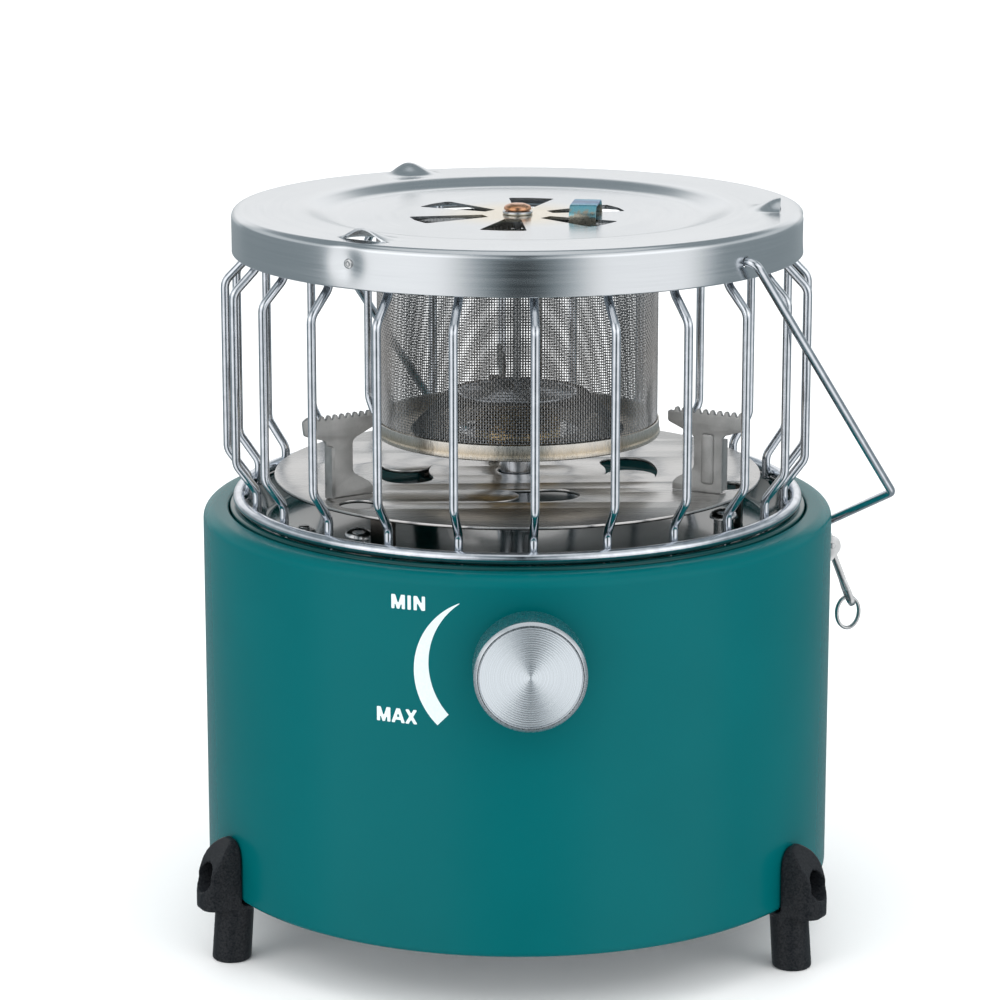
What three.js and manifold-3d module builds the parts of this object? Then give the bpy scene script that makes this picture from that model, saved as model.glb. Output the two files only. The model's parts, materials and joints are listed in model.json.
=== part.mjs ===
// A portable camping heater: an enamelled drum on three feet, a stove burner with pot supports
// on a steel disc, and a lift-off wire guard that carries the cap, the mesh emitter and a bail.
// Millimetres, +Z up. Azimuth 0 faces the knob (-Y) and grows towards +X.
import * as THREE from 'three';
import { mergeVertices } from 'three/addons/utils/BufferGeometryUtils.js';
import Module from 'manifold-3d';

const manifold = await Module();
manifold.setup();

// ---- driving dimensions ----
const GAP = 0.35; // clearance between neighbouring solids

const DRUM_RADIUS = 110;
const DRUM_BOTTOM = 21;
const DRUM_TOP = 151;
const DRUM_SHEET = 1.2;
const OPENING_RADIUS = 101;
const DRUM_LIP = 4.5; // how far the sheet turns down inside the opening
const PAN_FLOOR = 144.5;
const PAN_RIM = DRUM_TOP + 0.7;
const PAN_SHEET = 1;

const FOOT_AZIMUTHS = { foot_left: -64, foot_right: 56, foot_rear: 176 };
const FOOT_HALF_WIDTH = 7;
const FOOT_REACH = 124;
const LEG_CENTRE = 110;
const LEG_LEAN = 1.6;
const FOOT_SCREW_HEIGHT = 30.6;

const DISC_RADIUS = 85;
const DISC_TOP = 161.6;
const DISC_SHEET = 1.2;
const SUPPORT_AZIMUTHS = [-57, 60, 181.5];
const SUPPORT_HEIGHT = 28.5;
const SUPPORT_SHEET = 1.5;
const SUPPORT_TIPS = { inner: 58.5, outer: 88 };
const SUPPORT_STEM = { inner: 68.5, outer: 79 };
const SUPPORT_TEETH = 10;

const STEM_RADIUS = 6.65;
const STEM_BOTTOM = 104;
const HEAD_BOTTOM = 170.2;
const HEAD_TOP = 184;
const HEAD_RADIUS = 15;

const INLET_HEIGHT = 66;
const VALVE_BACK = -80;
const VALVE_FRONT = -104;
const SPINDLE_RADIUS = 3;
const PIPE_RADIUS = 2.5;

const GUARD_WIRES = 24;
const GUARD_FIRST_AZIMUTH = 1.3;
const GUARD_WIRE_RADIUS = 1.5;
const GUARD_RADIUS = 101.1;
const RING_RADIUS = 97.5;
const RING_WIRE_RADIUS = 2;
const RING_HEIGHT = PAN_RIM + GAP + RING_WIRE_RADIUS;

const CAP_RADIUS = 98.6;
const CAP_TOP = 255;
const CAP_SHEET = 0.9;
const CAP_RECESS = 2.8;
const RECESS_TOP = CAP_TOP - CAP_RECESS;
const SKIRT_BOTTOM = 240;
const CAP_SLOTS = 6;
const CAP_SLOT_AZIMUTH = -9.6;
const HUMP_AZIMUTHS = [-35.9, 84.1, 204.1];
const HUMP_LIP_RADIUS = 90.5; // each hump opens outwards here
const HUMP_DEPTH = 10;
const HUMP_HALF_LENGTH = 8.8;
const HUMP_HEIGHT = 3.9;
const SCREW_HEIGHT = 248.2;

const EMITTER_RADIUS = 49;
const DISH_BOTTOM = 175.5;
const DISH_TOP = 181;
const DISH_HOLE = 21.5;
const EMITTER_TOP = 247.5;
const CONE_TOP = 190;

const BAIL_AZIMUTH = 47.5;
const BAIL_HEIGHT = 246.1;
const BAIL_WIRE_RADIUS = 1.5;
const BAIL_REST_ANGLE = 40.5;
const BAIL_ARM = 121;
const BAIL_APEX = 189;

const KNOB_RADIUS = 18.3;
const KNOB_HEIGHT = 122.7;
const KNOB_BACK = 113.6;
const KNOB_FACE = 129;

const CATCH_AZIMUTH = 99.5;
const CATCH_PIVOT_RADIUS = 113.9;
const CATCH_PIVOT_HEIGHT = 130;
const CATCH_ANGLE = 21.4;
const CATCH_LENGTH = 25.5;
const CATCH_HOLE = CATCH_LENGTH - 3.6; // from the pivot to the hole for the pull ring
const CATCH_HOLE_RADIUS = 2.4;
const PULL_RING_RADIUS = 5.8; // half its height
const PULL_RING_NARROWING = 0.7;
const PULL_RING_TILT = 3;

// The box around the whole object is centred on the origin by this shift.
const CENTRE_SHIFT = new THREE.Vector3(-10, -0.7, 0);

const BIG_ROUND = 48;
const MEDIUM_ROUND = 36;
const SMALL_ROUND = 16;
const WIRE_SIDES = 6;

// ---- materials ----
const paint = (color, metalness, roughness) =>
  new THREE.MeshStandardMaterial({ color, metalness, roughness });
const ENAMEL = paint(0x00686c, 0, 0.35);
const DARK_ENAMEL = paint(0x0a3a3c, 0, 0.15);
const STEEL = paint(0xb9b7b2, 1, 0.35);
const BRIGHT_WIRE = paint(0xc9d0d6, 1, 0.2);
const MESH_STEEL = paint(0x8b857d, 1, 0.5);
const BRASS = paint(0xb59a55, 1, 0.35);
const COPPER = paint(0xc08a5e, 1, 0.3);
const BLUED = paint(0x3f6f95, 1, 0.3);
const BLACK_PLASTIC = paint(0x1b1f24, 0, 0.5);
const CERAMIC = paint(0xe6e2d8, 0, 0.5);
const PLATE = paint(0x8f9496, 1, 0.45);

// ---- geometry helpers ----
const radians = THREE.MathUtils.degToRad;

/** Closed triangles with shared corners, no empty triangles, and faces pointing out. */
function closed(source) {
  const bare = source.clone();
  bare.deleteAttribute('normal');
  bare.deleteAttribute('uv');
  const merged = mergeVertices(bare, 1e-4);
  const position = merged.attributes.position;
  const corners = [];
  let volume = 0;
  const a = new THREE.Vector3();
  const b = new THREE.Vector3();
  const c = new THREE.Vector3();
  for (let i = 0; i < merged.index.count; i += 3) {
    const face = [merged.index.getX(i), merged.index.getX(i + 1), merged.index.getX(i + 2)];
    if (new Set(face).size < 3) continue;
    a.fromBufferAttribute(position, face[0]);
    b.fromBufferAttribute(position, face[1]);
    c.fromBufferAttribute(position, face[2]);
    volume += a.dot(b.cross(c));
    corners.push(face);
  }
  const facing = volume < 0 ? corners.map(([p, q, r]) => [p, r, q]) : corners;
  const geometry = new THREE.BufferGeometry();
  geometry.setAttribute('position', position.clone());
  geometry.setIndex(facing.flat());
  return geometry;
}

function toManifold(source) {
  const geometry = closed(source);
  const mesh = new manifold.Mesh({
    numProp: 3,
    vertProperties: new Float32Array(geometry.attributes.position.array),
    triVerts: new Uint32Array(geometry.index.array),
  });
  return new manifold.Manifold(mesh);
}

function fromManifold(solid) {
  const mesh = solid.getMesh();
  const geometry = new THREE.BufferGeometry();
  geometry.setAttribute('position', new THREE.BufferAttribute(mesh.vertProperties, 3));
  geometry.setIndex(new THREE.BufferAttribute(mesh.triVerts, 1));
  return geometry;
}

const join = (...parts) => fromManifold(parts.map(toManifold).reduce((all, one) => all.add(one)));
const cut = (body, ...tools) =>
  fromManifold(tools.map(toManifold).reduce((left, tool) => left.subtract(tool), toManifold(body)));
const common = (one, other) => fromManifold(toManifold(one).intersect(toManifold(other)));

/** Points of an arc in the (radius, height) plane, angles in degrees from the radius axis. */
function arc(radius, height, size, from, to, steps) {
  return Array.from({ length: steps + 1 }, (_, i) => {
    const angle = radians(from + ((to - from) * i) / steps);
    return [radius + size * Math.cos(angle), height + size * Math.sin(angle)];
  });
}

/** A profile of [radius, height] points turned about the Z axis. */
function turned(profile, segments = MEDIUM_ROUND) {
  const points = profile.map(([radius, height]) => new THREE.Vector2(radius, height));
  return new THREE.LatheGeometry(points, segments).rotateX(Math.PI / 2);
}

/** A turned profile that returns to its first point. */
const turnedRing = (profile, segments) => turned([...profile, profile[0]], segments);

/** A solid cylinder along Z from one height to another. */
const cylinder = (radius, from, to, segments = SMALL_ROUND) =>
  turned([[0, from], [radius, from], [radius, to], [0, to]], segments);

/** An outline in X and Y, from polygon points, made thick along Z. */
function plate(points, from, to) {
  const shape = new THREE.Shape(points.map(([x, y]) => new THREE.Vector2(x, y)));
  const options = { depth: to - from, bevelEnabled: false };
  return new THREE.ExtrudeGeometry(shape, options).translate(0, 0, from);
}

/** An outline in radius and height, centred on the X-Z plane and made thick along Y. */
const blade = (points, thickness) =>
  plate(points, -thickness / 2, thickness / 2).rotateX(Math.PI / 2);

const box = (x, y, z, cx, cy, cz) => new THREE.BoxGeometry(x, y, z).translate(cx, cy, cz);

/** Turns a geometry built along +X to point along an azimuth. */
const toAzimuth = (geometry, azimuth) => geometry.rotateZ(radians(azimuth - 90));

/** Turns a geometry built along +Z to point at the knob's side, -Y. */
const sideways = (geometry) => geometry.rotateX(Math.PI / 2);

/** Turns a geometry built along +Z to point along +X. */
const outward = (geometry) => geometry.rotateY(Math.PI / 2);

/** The point at a radius, azimuth and height. */
function polar(radius, azimuth, height) {
  const angle = radians(azimuth);
  return new THREE.Vector3(radius * Math.sin(angle), -radius * Math.cos(angle), height);
}

/** A wire's centre line: straight runs between corners, with each corner rounded. */
class BentWire extends THREE.Curve {
  constructor(corners, bend, bendSteps = 4) {
    super();
    this.stations = [corners[0]];
    for (let i = 1; i < corners.length - 1; i += 1) {
      const before = corners[i - 1].clone().sub(corners[i]);
      const after = corners[i + 1].clone().sub(corners[i]);
      const half = before.angleTo(after) / 2;
      const reach = Math.min(bend / Math.tan(half), before.length() * 0.45, after.length() * 0.45);
      const start = corners[i].clone().addScaledVector(before.normalize(), reach);
      const end = corners[i].clone().addScaledVector(after.normalize(), reach);
      const curve = new THREE.QuadraticBezierCurve3(start, corners[i], end);
      this.stations.push(...curve.getPoints(bendSteps));
    }
    this.stations.push(corners[corners.length - 1]);
  }

  getPoint(t, target = new THREE.Vector3()) {
    const place = t * (this.stations.length - 1);
    const index = Math.min(Math.max(Math.floor(place), 0), this.stations.length - 2);
    return target.copy(this.stations[index]).lerp(this.stations[index + 1], place - index);
  }

  getPointAt(u, target) {
    return this.getPoint(u, target);
  }

  getTangentAt(u, target) {
    return this.getTangent(u, target);
  }
}

/** A round wire or pipe along corners. */
function wire(corners, radius, bend, bendSteps = 4) {
  const path = new BentWire(corners, bend, bendSteps);
  const outline = Array.from({ length: WIRE_SIDES }, (_, i) => {
    const angle = (2 * Math.PI * (i + 0.5)) / WIRE_SIDES;
    return new THREE.Vector2(radius * Math.cos(angle), radius * Math.sin(angle));
  });
  return new THREE.ExtrudeGeometry(new THREE.Shape(outline), {
    steps: path.stations.length - 1,
    extrudePath: path,
    bevelEnabled: false,
  });
}

/** A ring of round wire about the Z axis. */
const hoop = (radius, height, wireRadius, segments, sides = 10) =>
  turned(arc(radius, height, wireRadius, 0, 360, sides), segments);

// ---- the object ----
const heater = new THREE.Group();
heater.position.copy(CENTRE_SHIFT);

function add(name, geometry, material) {
  const mesh = new THREE.Mesh(closed(geometry), material);
  mesh.name = name;
  heater.add(mesh);
  return mesh;
}

// -- drum --
function drumShell() {
  const flange = 102; // the bottom edge turns inwards to this radius
  const low = 2.5; // bend at the bottom edge
  const high = 4; // bend at the shoulder
  const lip = OPENING_RADIUS + DRUM_SHEET;
  const profile = [
    [flange, DRUM_BOTTOM],
    ...arc(DRUM_RADIUS - low, DRUM_BOTTOM + low, low, -90, 0, 3),
    ...arc(DRUM_RADIUS - high, DRUM_TOP - high, high, 0, 90, 4),
    ...arc(lip, DRUM_TOP - DRUM_SHEET, DRUM_SHEET, 90, 180, 2),
    [OPENING_RADIUS, DRUM_TOP - DRUM_LIP],
    [lip, DRUM_TOP - DRUM_LIP],
    [lip, DRUM_TOP - DRUM_SHEET],
    ...arc(DRUM_RADIUS - high, DRUM_TOP - high, high - DRUM_SHEET, 90, 0, 2),
    ...arc(DRUM_RADIUS - low, DRUM_BOTTOM + low, low - DRUM_SHEET, 0, -90, 1),
    [flange, DRUM_BOTTOM + DRUM_SHEET],
  ];
  const spindleHole = sideways(cylinder(4.6, 100, 120));
  const inletHole = cylinder(6.5, 100, 120).rotateX(-Math.PI / 2);
  return cut(
    turnedRing(profile, BIG_ROUND),
    spindleHole.translate(0, 0, KNOB_HEIGHT),
    inletHole.translate(0, 0, INLET_HEIGHT),
  );
}

function drumPan() {
  const edge = OPENING_RADIUS - GAP;
  const stemHole = STEM_RADIUS + 1.6;
  const top = [
    [stemHole, PAN_FLOOR],
    [87, PAN_FLOOR],
    [89.4, PAN_FLOOR + 0.6],
    [94.6, PAN_RIM - 0.6],
    [96, PAN_RIM],
    [edge - 0.6, PAN_RIM],
    [edge, PAN_RIM - 0.6],
    [edge, DRUM_TOP - DRUM_LIP],
  ];
  const under = [
    [edge - PAN_SHEET, DRUM_TOP - DRUM_LIP],
    [edge - PAN_SHEET, PAN_RIM - PAN_SHEET],
    [95.6, PAN_RIM - PAN_SHEET],
    [89.2, PAN_FLOOR - PAN_SHEET + 0.6],
    [87.2, PAN_FLOOR - PAN_SHEET],
    [stemHole, PAN_FLOOR - PAN_SHEET],
  ];
  return turnedRing([...top, ...under], BIG_ROUND);
}

function basePlate() {
  const disc = cylinder(106.2, DRUM_BOTTOM + DRUM_SHEET + GAP, DRUM_BOTTOM + 3, BIG_ROUND);
  const vents = Array.from({ length: 8 }, (_, i) => {
    const centre = polar(62, 22.5 + i * 45, 0);
    return cylinder(6, 10, 40).translate(centre.x, centre.y, 0);
  });
  return cut(disc, cylinder(12, 10, 40), ...vents);
}

function foot(azimuth) {
  const floorLevel = DRUM_BOTTOM - GAP;
  const hoodOutline = [
    [104, floorLevel - 1.4],
    [FOOT_REACH - 0.6, floorLevel - 1.4],
    [FOOT_REACH, floorLevel],
    [FOOT_REACH - 0.4, 25],
    [FOOT_REACH - 2, 30.5],
    [FOOT_REACH - 4.8, 36],
    [FOOT_REACH - 8.2, 40.5],
    [FOOT_REACH - 11.2, 43],
    [104, 43.6],
  ];
  const side = blade(hoodOutline, 2 * FOOT_HALF_WIDTH);
  const roundEnd = FOOT_REACH - FOOT_HALF_WIDTH;
  const plan = join(
    cylinder(FOOT_HALF_WIDTH, 10, 50, 24).translate(roundEnd, 0, 0),
    box(roundEnd - 100, 2 * FOOT_HALF_WIDTH, 40, (roundEnd + 100) / 2, 0, 30),
  );
  const hood = cut(common(side, plan), cylinder(DRUM_RADIUS + GAP, floorLevel, 60, BIG_ROUND));
  const leg = turned([[0, 0], [6.9, 0], [6.7, floorLevel], [0, floorLevel]], 20);
  const lean = new THREE.Matrix4().makeShear(0, 0, 0, 0, -LEG_LEAN / floorLevel, 0);
  leg.applyMatrix4(lean).translate(LEG_CENTRE + LEG_LEAN, 0, 0);
  const screwWell = outward(cylinder(5.6, 113.5, 130)).translate(0, 0, FOOT_SCREW_HEIGHT);
  const screwHole = outward(cylinder(2.2, 104, 130, 12)).translate(0, 0, FOOT_SCREW_HEIGHT);
  return toAzimuth(cut(join(hood, leg), screwWell, screwHole), azimuth);
}

add('drum_shell', drumShell(), ENAMEL);
add('drum_pan', drumPan(), DARK_ENAMEL);
add('base_plate', basePlate(), PLATE);
for (const [name, azimuth] of Object.entries(FOOT_AZIMUTHS)) {
  add(name, foot(azimuth), BLACK_PLASTIC);
}

// -- stove: disc, pot supports, burner --
/** A slot that follows a circle, with round ends. */
function arcSlot(radius, halfWidth, halfSpan) {
  const steps = 12;
  const ends = 6;
  const points = [];
  for (let i = 0; i <= steps; i += 1) {
    const angle = radians(-halfSpan + (2 * halfSpan * i) / steps);
    points.push([(radius + halfWidth) * Math.cos(angle), (radius + halfWidth) * Math.sin(angle)]);
  }
  const roundEnd = (middle, from) => {
    const centre = [radius * Math.cos(radians(middle)), radius * Math.sin(radians(middle))];
    for (let i = 1; i < ends; i += 1) {
      const angle = radians(from + (180 * i) / ends);
      points.push([centre[0] + halfWidth * Math.cos(angle), centre[1] + halfWidth * Math.sin(angle)]);
    }
  };
  roundEnd(halfSpan, halfSpan);
  for (let i = 0; i <= steps; i += 1) {
    const angle = radians(halfSpan - (2 * halfSpan * i) / steps);
    points.push([(radius - halfWidth) * Math.cos(angle), (radius - halfWidth) * Math.sin(angle)]);
  }
  roundEnd(-halfSpan, 180 - halfSpan);
  return plate(points, DISC_TOP - 5, DISC_TOP + 5);
}

function heatDisc() {
  const under = DISC_TOP - DISC_SHEET;
  const legBottom = PAN_FLOOR + GAP;
  const legHeight = under + 0.5 - legBottom;
  const legs = SUPPORT_AZIMUTHS.map((azimuth) =>
    toAzimuth(box(2, 9, legHeight, 78, 0, legBottom + legHeight / 2), azimuth + 20));
  const slots = [1, 91, 181, 271].map((azimuth) => toAzimuth(arcSlot(40, 9, 15), azimuth));
  const accessHoles = SUPPORT_AZIMUTHS.map((azimuth) =>
    toAzimuth(cylinder(6.5, under - 4, DISC_TOP + 4, 24).translate(75, 0, 0), azimuth + 9.5));
  const disc = cylinder(DISC_RADIUS, under, DISC_TOP, BIG_ROUND);
  const stemHole = cylinder(STEM_RADIUS + GAP, under - 4, DISC_TOP + 4, 24);
  return join(cut(disc, stemHole, ...slots, ...accessHoles), ...legs);
}

function potSupport(azimuth) {
  const base = DISC_TOP + GAP;
  const top = base + SUPPORT_HEIGHT;
  const { inner: innerTip, outer: outerTip } = SUPPORT_TIPS;
  const { inner: stemInner, outer: stemOuter } = SUPPORT_STEM;
  const toe = innerTip + 2;
  const toothDepth = 1.2;
  const pitch = (outerTip - innerTip - 4) / SUPPORT_TEETH;
  const outline = [
    [toe, base],
    [stemOuter, base],
    [stemOuter, base + 20],
    [outerTip - 1, base + 22.5],
    [outerTip, base + 24],
    [outerTip, top - 1.5],
    [outerTip - 1.5, top],
  ];
  for (let i = 0; i < SUPPORT_TEETH; i += 1) {
    const place = outerTip - 2 - i * pitch;
    outline.push([place, top], [place - pitch / 2, top - toothDepth]);
  }
  outline.push(
    [innerTip + 1.5, top],
    [innerTip, top - 1.5],
    [innerTip, base + 24],
    [stemInner, base + 19.5],
    [stemInner, base + 7],
    [toe + 1.5, base + 3.5],
    [toe, base + 2],
  );
  const rib = box(2.6, 1.2, 17, (stemInner + stemOuter) / 2, -SUPPORT_SHEET / 2, base + 10);
  const flange = box(1.2, 4, 19, stemOuter - 0.6, SUPPORT_SHEET / 2 + 1.4, base + 9.5);
  return toAzimuth(join(blade(outline, SUPPORT_SHEET), rib, flange), azimuth);
}

add('heat_disc', heatDisc(), STEEL);
SUPPORT_AZIMUTHS.forEach((azimuth, i) => add(`pot_support_${i + 1}`, potSupport(azimuth), STEEL));

const burnerStem = turnedRing([
  [4, STEM_BOTTOM],
  [5.4, STEM_BOTTOM],
  [5.4, PAN_FLOOR - 3],
  [STEM_RADIUS, PAN_FLOOR - 1],
  [STEM_RADIUS, HEAD_BOTTOM - GAP],
  [4, HEAD_BOTTOM - GAP],
], 24);
add('burner_stem', burnerStem, BRIGHT_WIRE);

const burnerHead = turned([
  [0, HEAD_TOP - 2.6],
  [HEAD_RADIUS - 4.4, HEAD_TOP - 2.6],
  [HEAD_RADIUS - 2.4, HEAD_TOP - 5],
  [HEAD_RADIUS - 2.4, HEAD_BOTTOM + 2.6],
  [4, HEAD_BOTTOM + 2.6],
  [4, HEAD_BOTTOM],
  [HEAD_RADIUS - 1.5, HEAD_BOTTOM],
  [HEAD_RADIUS, HEAD_BOTTOM + 1.5],
  [HEAD_RADIUS, HEAD_TOP - 4],
  [HEAD_RADIUS - 3, HEAD_TOP],
  [0, HEAD_TOP],
], 24);
add('burner_head', burnerHead, BRASS);

const electrode = turned([
  [0, DISC_TOP + GAP],
  [2.1, DISC_TOP + GAP],
  [2.1, 173],
  [0.9, 174],
  [0.9, 184.5],
  [0, 185],
], 12);
const electrodePlace = polar(18, 205, 0);
add('spark_electrode', electrode.translate(electrodePlace.x, electrodePlace.y, 0), CERAMIC);

// -- gas line --
function valveBody() {
  const depth = VALVE_BACK - VALVE_FRONT;
  const body = box(22, depth, 24, 0, (VALVE_BACK + VALVE_FRONT) / 2, 0);
  const nose = sideways(cylinder(6, -VALVE_FRONT - 1, 107.9));
  const bore = sideways(cylinder(SPINDLE_RADIUS + GAP, 88, 112, 24));
  return cut(join(body, nose), bore).translate(0, 0, KNOB_HEIGHT);
}

function inletFitting() {
  const profile = [
    [3, 100],
    [9, 100],
    [9, 106],
    [6, 106],
    [6, 113],
    [7.5, 113],
    [7.5, 118],
    [5.4, 118],
    [5.4, 128],
    [3, 128],
  ];
  return turnedRing(profile, 16).rotateX(-Math.PI / 2).translate(0, 0, INLET_HEIGHT);
}

const supplyPipe = wire([
  new THREE.Vector3(0, 99.6, INLET_HEIGHT),
  new THREE.Vector3(0, 84, INLET_HEIGHT),
  new THREE.Vector3(-30, 40, INLET_HEIGHT + 6),
  new THREE.Vector3(-34, -60, KNOB_HEIGHT - 6),
  new THREE.Vector3(-24, -92, KNOB_HEIGHT - 4),
  new THREE.Vector3(-11.4, -92, KNOB_HEIGHT - 4),
], PIPE_RADIUS, 14);

const burnerPipe = wire([
  new THREE.Vector3(6, VALVE_BACK + 0.4, KNOB_HEIGHT - 6),
  new THREE.Vector3(6, -64, KNOB_HEIGHT - 6),
  new THREE.Vector3(0, -44, 96),
  new THREE.Vector3(0, 0, 92),
  new THREE.Vector3(0, 0, STEM_BOTTOM - 0.4),
], PIPE_RADIUS, 10);

add('valve_body', valveBody(), BRASS);
add('inlet_fitting', inletFitting(), BRASS);
add('supply_pipe', supplyPipe, COPPER);
add('burner_pipe', burnerPipe, COPPER);

const bezel = turnedRing([
  [4.2, 108.4],
  [4.4, 108.4],
  [4.4, DRUM_RADIUS + 0.3],
  [9, DRUM_RADIUS + 0.6],
  [9, DRUM_RADIUS + 1],
  [SPINDLE_RADIUS + GAP, DRUM_RADIUS + 1],
  [SPINDLE_RADIUS + GAP, 108.4],
], 24);
add('knob_bezel', sideways(bezel).translate(0, 0, KNOB_HEIGHT), BLACK_PLASTIC);

const spindle = turned([
  [0, 88.4],
  [SPINDLE_RADIUS, 88.4],
  [SPINDLE_RADIUS, 120],
  [0, 120],
], 20);
add('valve_spindle', sideways(spindle).translate(0, 0, KNOB_HEIGHT), BRASS);

const knob = turned([
  [0, 124],
  [SPINDLE_RADIUS + GAP, 124],
  [SPINDLE_RADIUS + GAP, KNOB_BACK],
  [KNOB_RADIUS - 0.8, KNOB_BACK],
  [KNOB_RADIUS, KNOB_BACK + 0.8],
  [KNOB_RADIUS, KNOB_FACE - 1.2],
  [KNOB_RADIUS - 1.2, KNOB_FACE],
  [0, KNOB_FACE],
], MEDIUM_ROUND);
add('knob', sideways(knob).translate(0, 0, KNOB_HEIGHT), STEEL);

// -- side catch: bracket, lever and pull ring --
function catchBracket() {
  const pin = sideways(cylinder(1, -5, 5, 12));
  const ear = (side) =>
    box(7, 1.2, 9, DRUM_RADIUS + 4, side * 4.4, CATCH_PIVOT_HEIGHT - 1);
  const back = box(1, 10, 16, DRUM_RADIUS + 0.95, 0, CATCH_PIVOT_HEIGHT - 1);
  const body = join(
    back, ear(1), ear(-1),
    pin.translate(CATCH_PIVOT_RADIUS, 0, CATCH_PIVOT_HEIGHT),
  );
  return toAzimuth(body, CATCH_AZIMUTH);
}

/** The lever hangs along -Z from the pivot before it is tipped outwards. */
function catchLever() {
  const outline = [
    [-1.8, -1],
    [1.8, -1],
    [2.2, -15],
    [3.5, -18.5],
    [3.5, -CATCH_LENGTH + 2.4],
    [2.2, -CATCH_LENGTH + 0.6],
    [0, -CATCH_LENGTH],
    [-2.2, -CATCH_LENGTH + 0.6],
    [-3.5, -CATCH_LENGTH + 2.4],
    [-3.5, -18.5],
    [-2.2, -15],
  ];
  const tongue = plate(outline, -1, 1).rotateY(Math.PI / 2).rotateX(Math.PI / 2);
  const eye = sideways(cylinder(2.3, -3.2, 3.2, 20));
  const bore = sideways(cylinder(1 + GAP, -6, 6, 16));
  const hole = outward(cylinder(CATCH_HOLE_RADIUS, -6, 6, 16)).translate(0, 0, -CATCH_HOLE);
  const lever = cut(join(tongue, eye), bore, hole).rotateY(radians(-CATCH_ANGLE));
  return toAzimuth(lever.translate(CATCH_PIVOT_RADIUS, 0, CATCH_PIVOT_HEIGHT), CATCH_AZIMUTH);
}

function pullRing() {
  const tilt = radians(CATCH_ANGLE);
  const holeRadius = CATCH_PIVOT_RADIUS + CATCH_HOLE * Math.sin(tilt);
  const holeHeight = CATCH_PIVOT_HEIGHT - CATCH_HOLE * Math.cos(tilt);
  const ring = hoop(PULL_RING_RADIUS, 0, 0.7, 24, 6).rotateX(Math.PI / 2);
  ring.scale(PULL_RING_NARROWING, 1, 1).translate(0, 0, -PULL_RING_RADIUS).rotateY(radians(PULL_RING_TILT));
  return toAzimuth(ring.translate(holeRadius, 0, holeHeight), CATCH_AZIMUTH);
}

add('catch_bracket', catchBracket(), STEEL);
add('catch_lever', catchLever(), BRIGHT_WIRE);
add('pull_ring', pullRing(), BRIGHT_WIRE);

// -- guard: cap --
function capSlot(azimuth) {
  const inner = 12;
  const outer = 37;
  const outline = [
    [inner, -2.8],
    [outer, -8.1],
    [outer, 8.1],
    [inner, 2.8],
  ];
  return toAzimuth(plate(outline, CAP_TOP - 10, CAP_TOP + 10), azimuth);
}

/** A pressed louvre near the rim that carries a pot: half a dome that opens outwards. */
function capHump(azimuth) {
  const base = CAP_TOP - 0.5;
  const dome = (sheet) =>
    new THREE.SphereGeometry(1, 20, 12)
      .scale(HUMP_DEPTH - sheet, HUMP_HALF_LENGTH - sheet, CAP_TOP + HUMP_HEIGHT - base - sheet)
      .translate(HUMP_LIP_RADIUS, 0, base);
  const outside = box(20, 40, 20, HUMP_LIP_RADIUS + 10, 0, base);
  const below = box(40, 40, 20, HUMP_LIP_RADIUS, 0, base - 10);
  const shell = cut(dome(0), dome(CAP_SHEET), outside, below);
  const slot = cut(dome(CAP_SHEET + 0.2).scale(1, 1, 3).translate(0, 0, -2 * base), outside);
  return { shell: toAzimuth(shell, azimuth), slot: toAzimuth(slot, azimuth) };
}

function guardCap() {
  const inner = CAP_RADIUS - CAP_SHEET;
  const bend = 2.5;
  const profile = [
    [2.6, RECESS_TOP],
    [2.6, RECESS_TOP - CAP_SHEET],
    [65.4, RECESS_TOP - CAP_SHEET],
    [73, CAP_TOP - CAP_SHEET],
    [CAP_RADIUS - bend, CAP_TOP - CAP_SHEET],
    ...arc(CAP_RADIUS - bend, CAP_TOP - bend, bend - CAP_SHEET, 60, 0, 2),
    [inner, SKIRT_BOTTOM],
    [CAP_RADIUS, SKIRT_BOTTOM],
    ...arc(CAP_RADIUS - bend, CAP_TOP - bend, bend, 0, 90, 4),
    [73, CAP_TOP],
    [65, RECESS_TOP],
  ];
  const slots = Array.from({ length: CAP_SLOTS }, (_, i) =>
    capSlot(CAP_SLOT_AZIMUTH + (360 / CAP_SLOTS) * i));
  const humps = HUMP_AZIMUTHS.map(capHump);
  const sideHole = (size, azimuth, height) =>
    toAzimuth(outward(cylinder(size, 90, 110, 16)).translate(0, 0, height), azimuth);
  const screwHoles = HUMP_AZIMUTHS.map((azimuth) => sideHole(1.8, azimuth, SCREW_HEIGHT));
  const bailHoles = [0, 180].map((turn) =>
    sideHole(BAIL_WIRE_RADIUS + 0.4, BAIL_AZIMUTH + turn, BAIL_HEIGHT));
  const pressed = cut(
    turnedRing(profile, BIG_ROUND),
    ...slots,
    ...screwHoles,
    ...bailHoles,
    ...humps.map((hump) => hump.slot),
  );
  return join(pressed, ...humps.map((hump) => hump.shell));
}

add('guard_cap', guardCap(), STEEL);

/** The rivet is the head of a tie rod that also holds the cone inside the emitter. */
const rivet = turned([
  [0, CONE_TOP - 4],
  [3, CONE_TOP - 4],
  [3, CONE_TOP - 1.2],
  [1.4, CONE_TOP - 1.2],
  [1.4, RECESS_TOP - 2],
  [2.2, RECESS_TOP - 1.6],
  [2.2, RECESS_TOP + 1.6],
  [4.8, RECESS_TOP + 1.8],
  [4.4, RECESS_TOP + 2.9],
  [2.4, RECESS_TOP + 3.6],
  [0, RECESS_TOP + 3.8],
], 16);
add('cap_rivet', rivet, COPPER);

const washer = turnedRing([
  [2.6, RECESS_TOP + GAP],
  [4.8, RECESS_TOP + GAP],
  [4.8, RECESS_TOP + 1.2],
  [2.6, RECESS_TOP + 1.2],
], 16);
add('rivet_washer', washer, STEEL);

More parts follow.
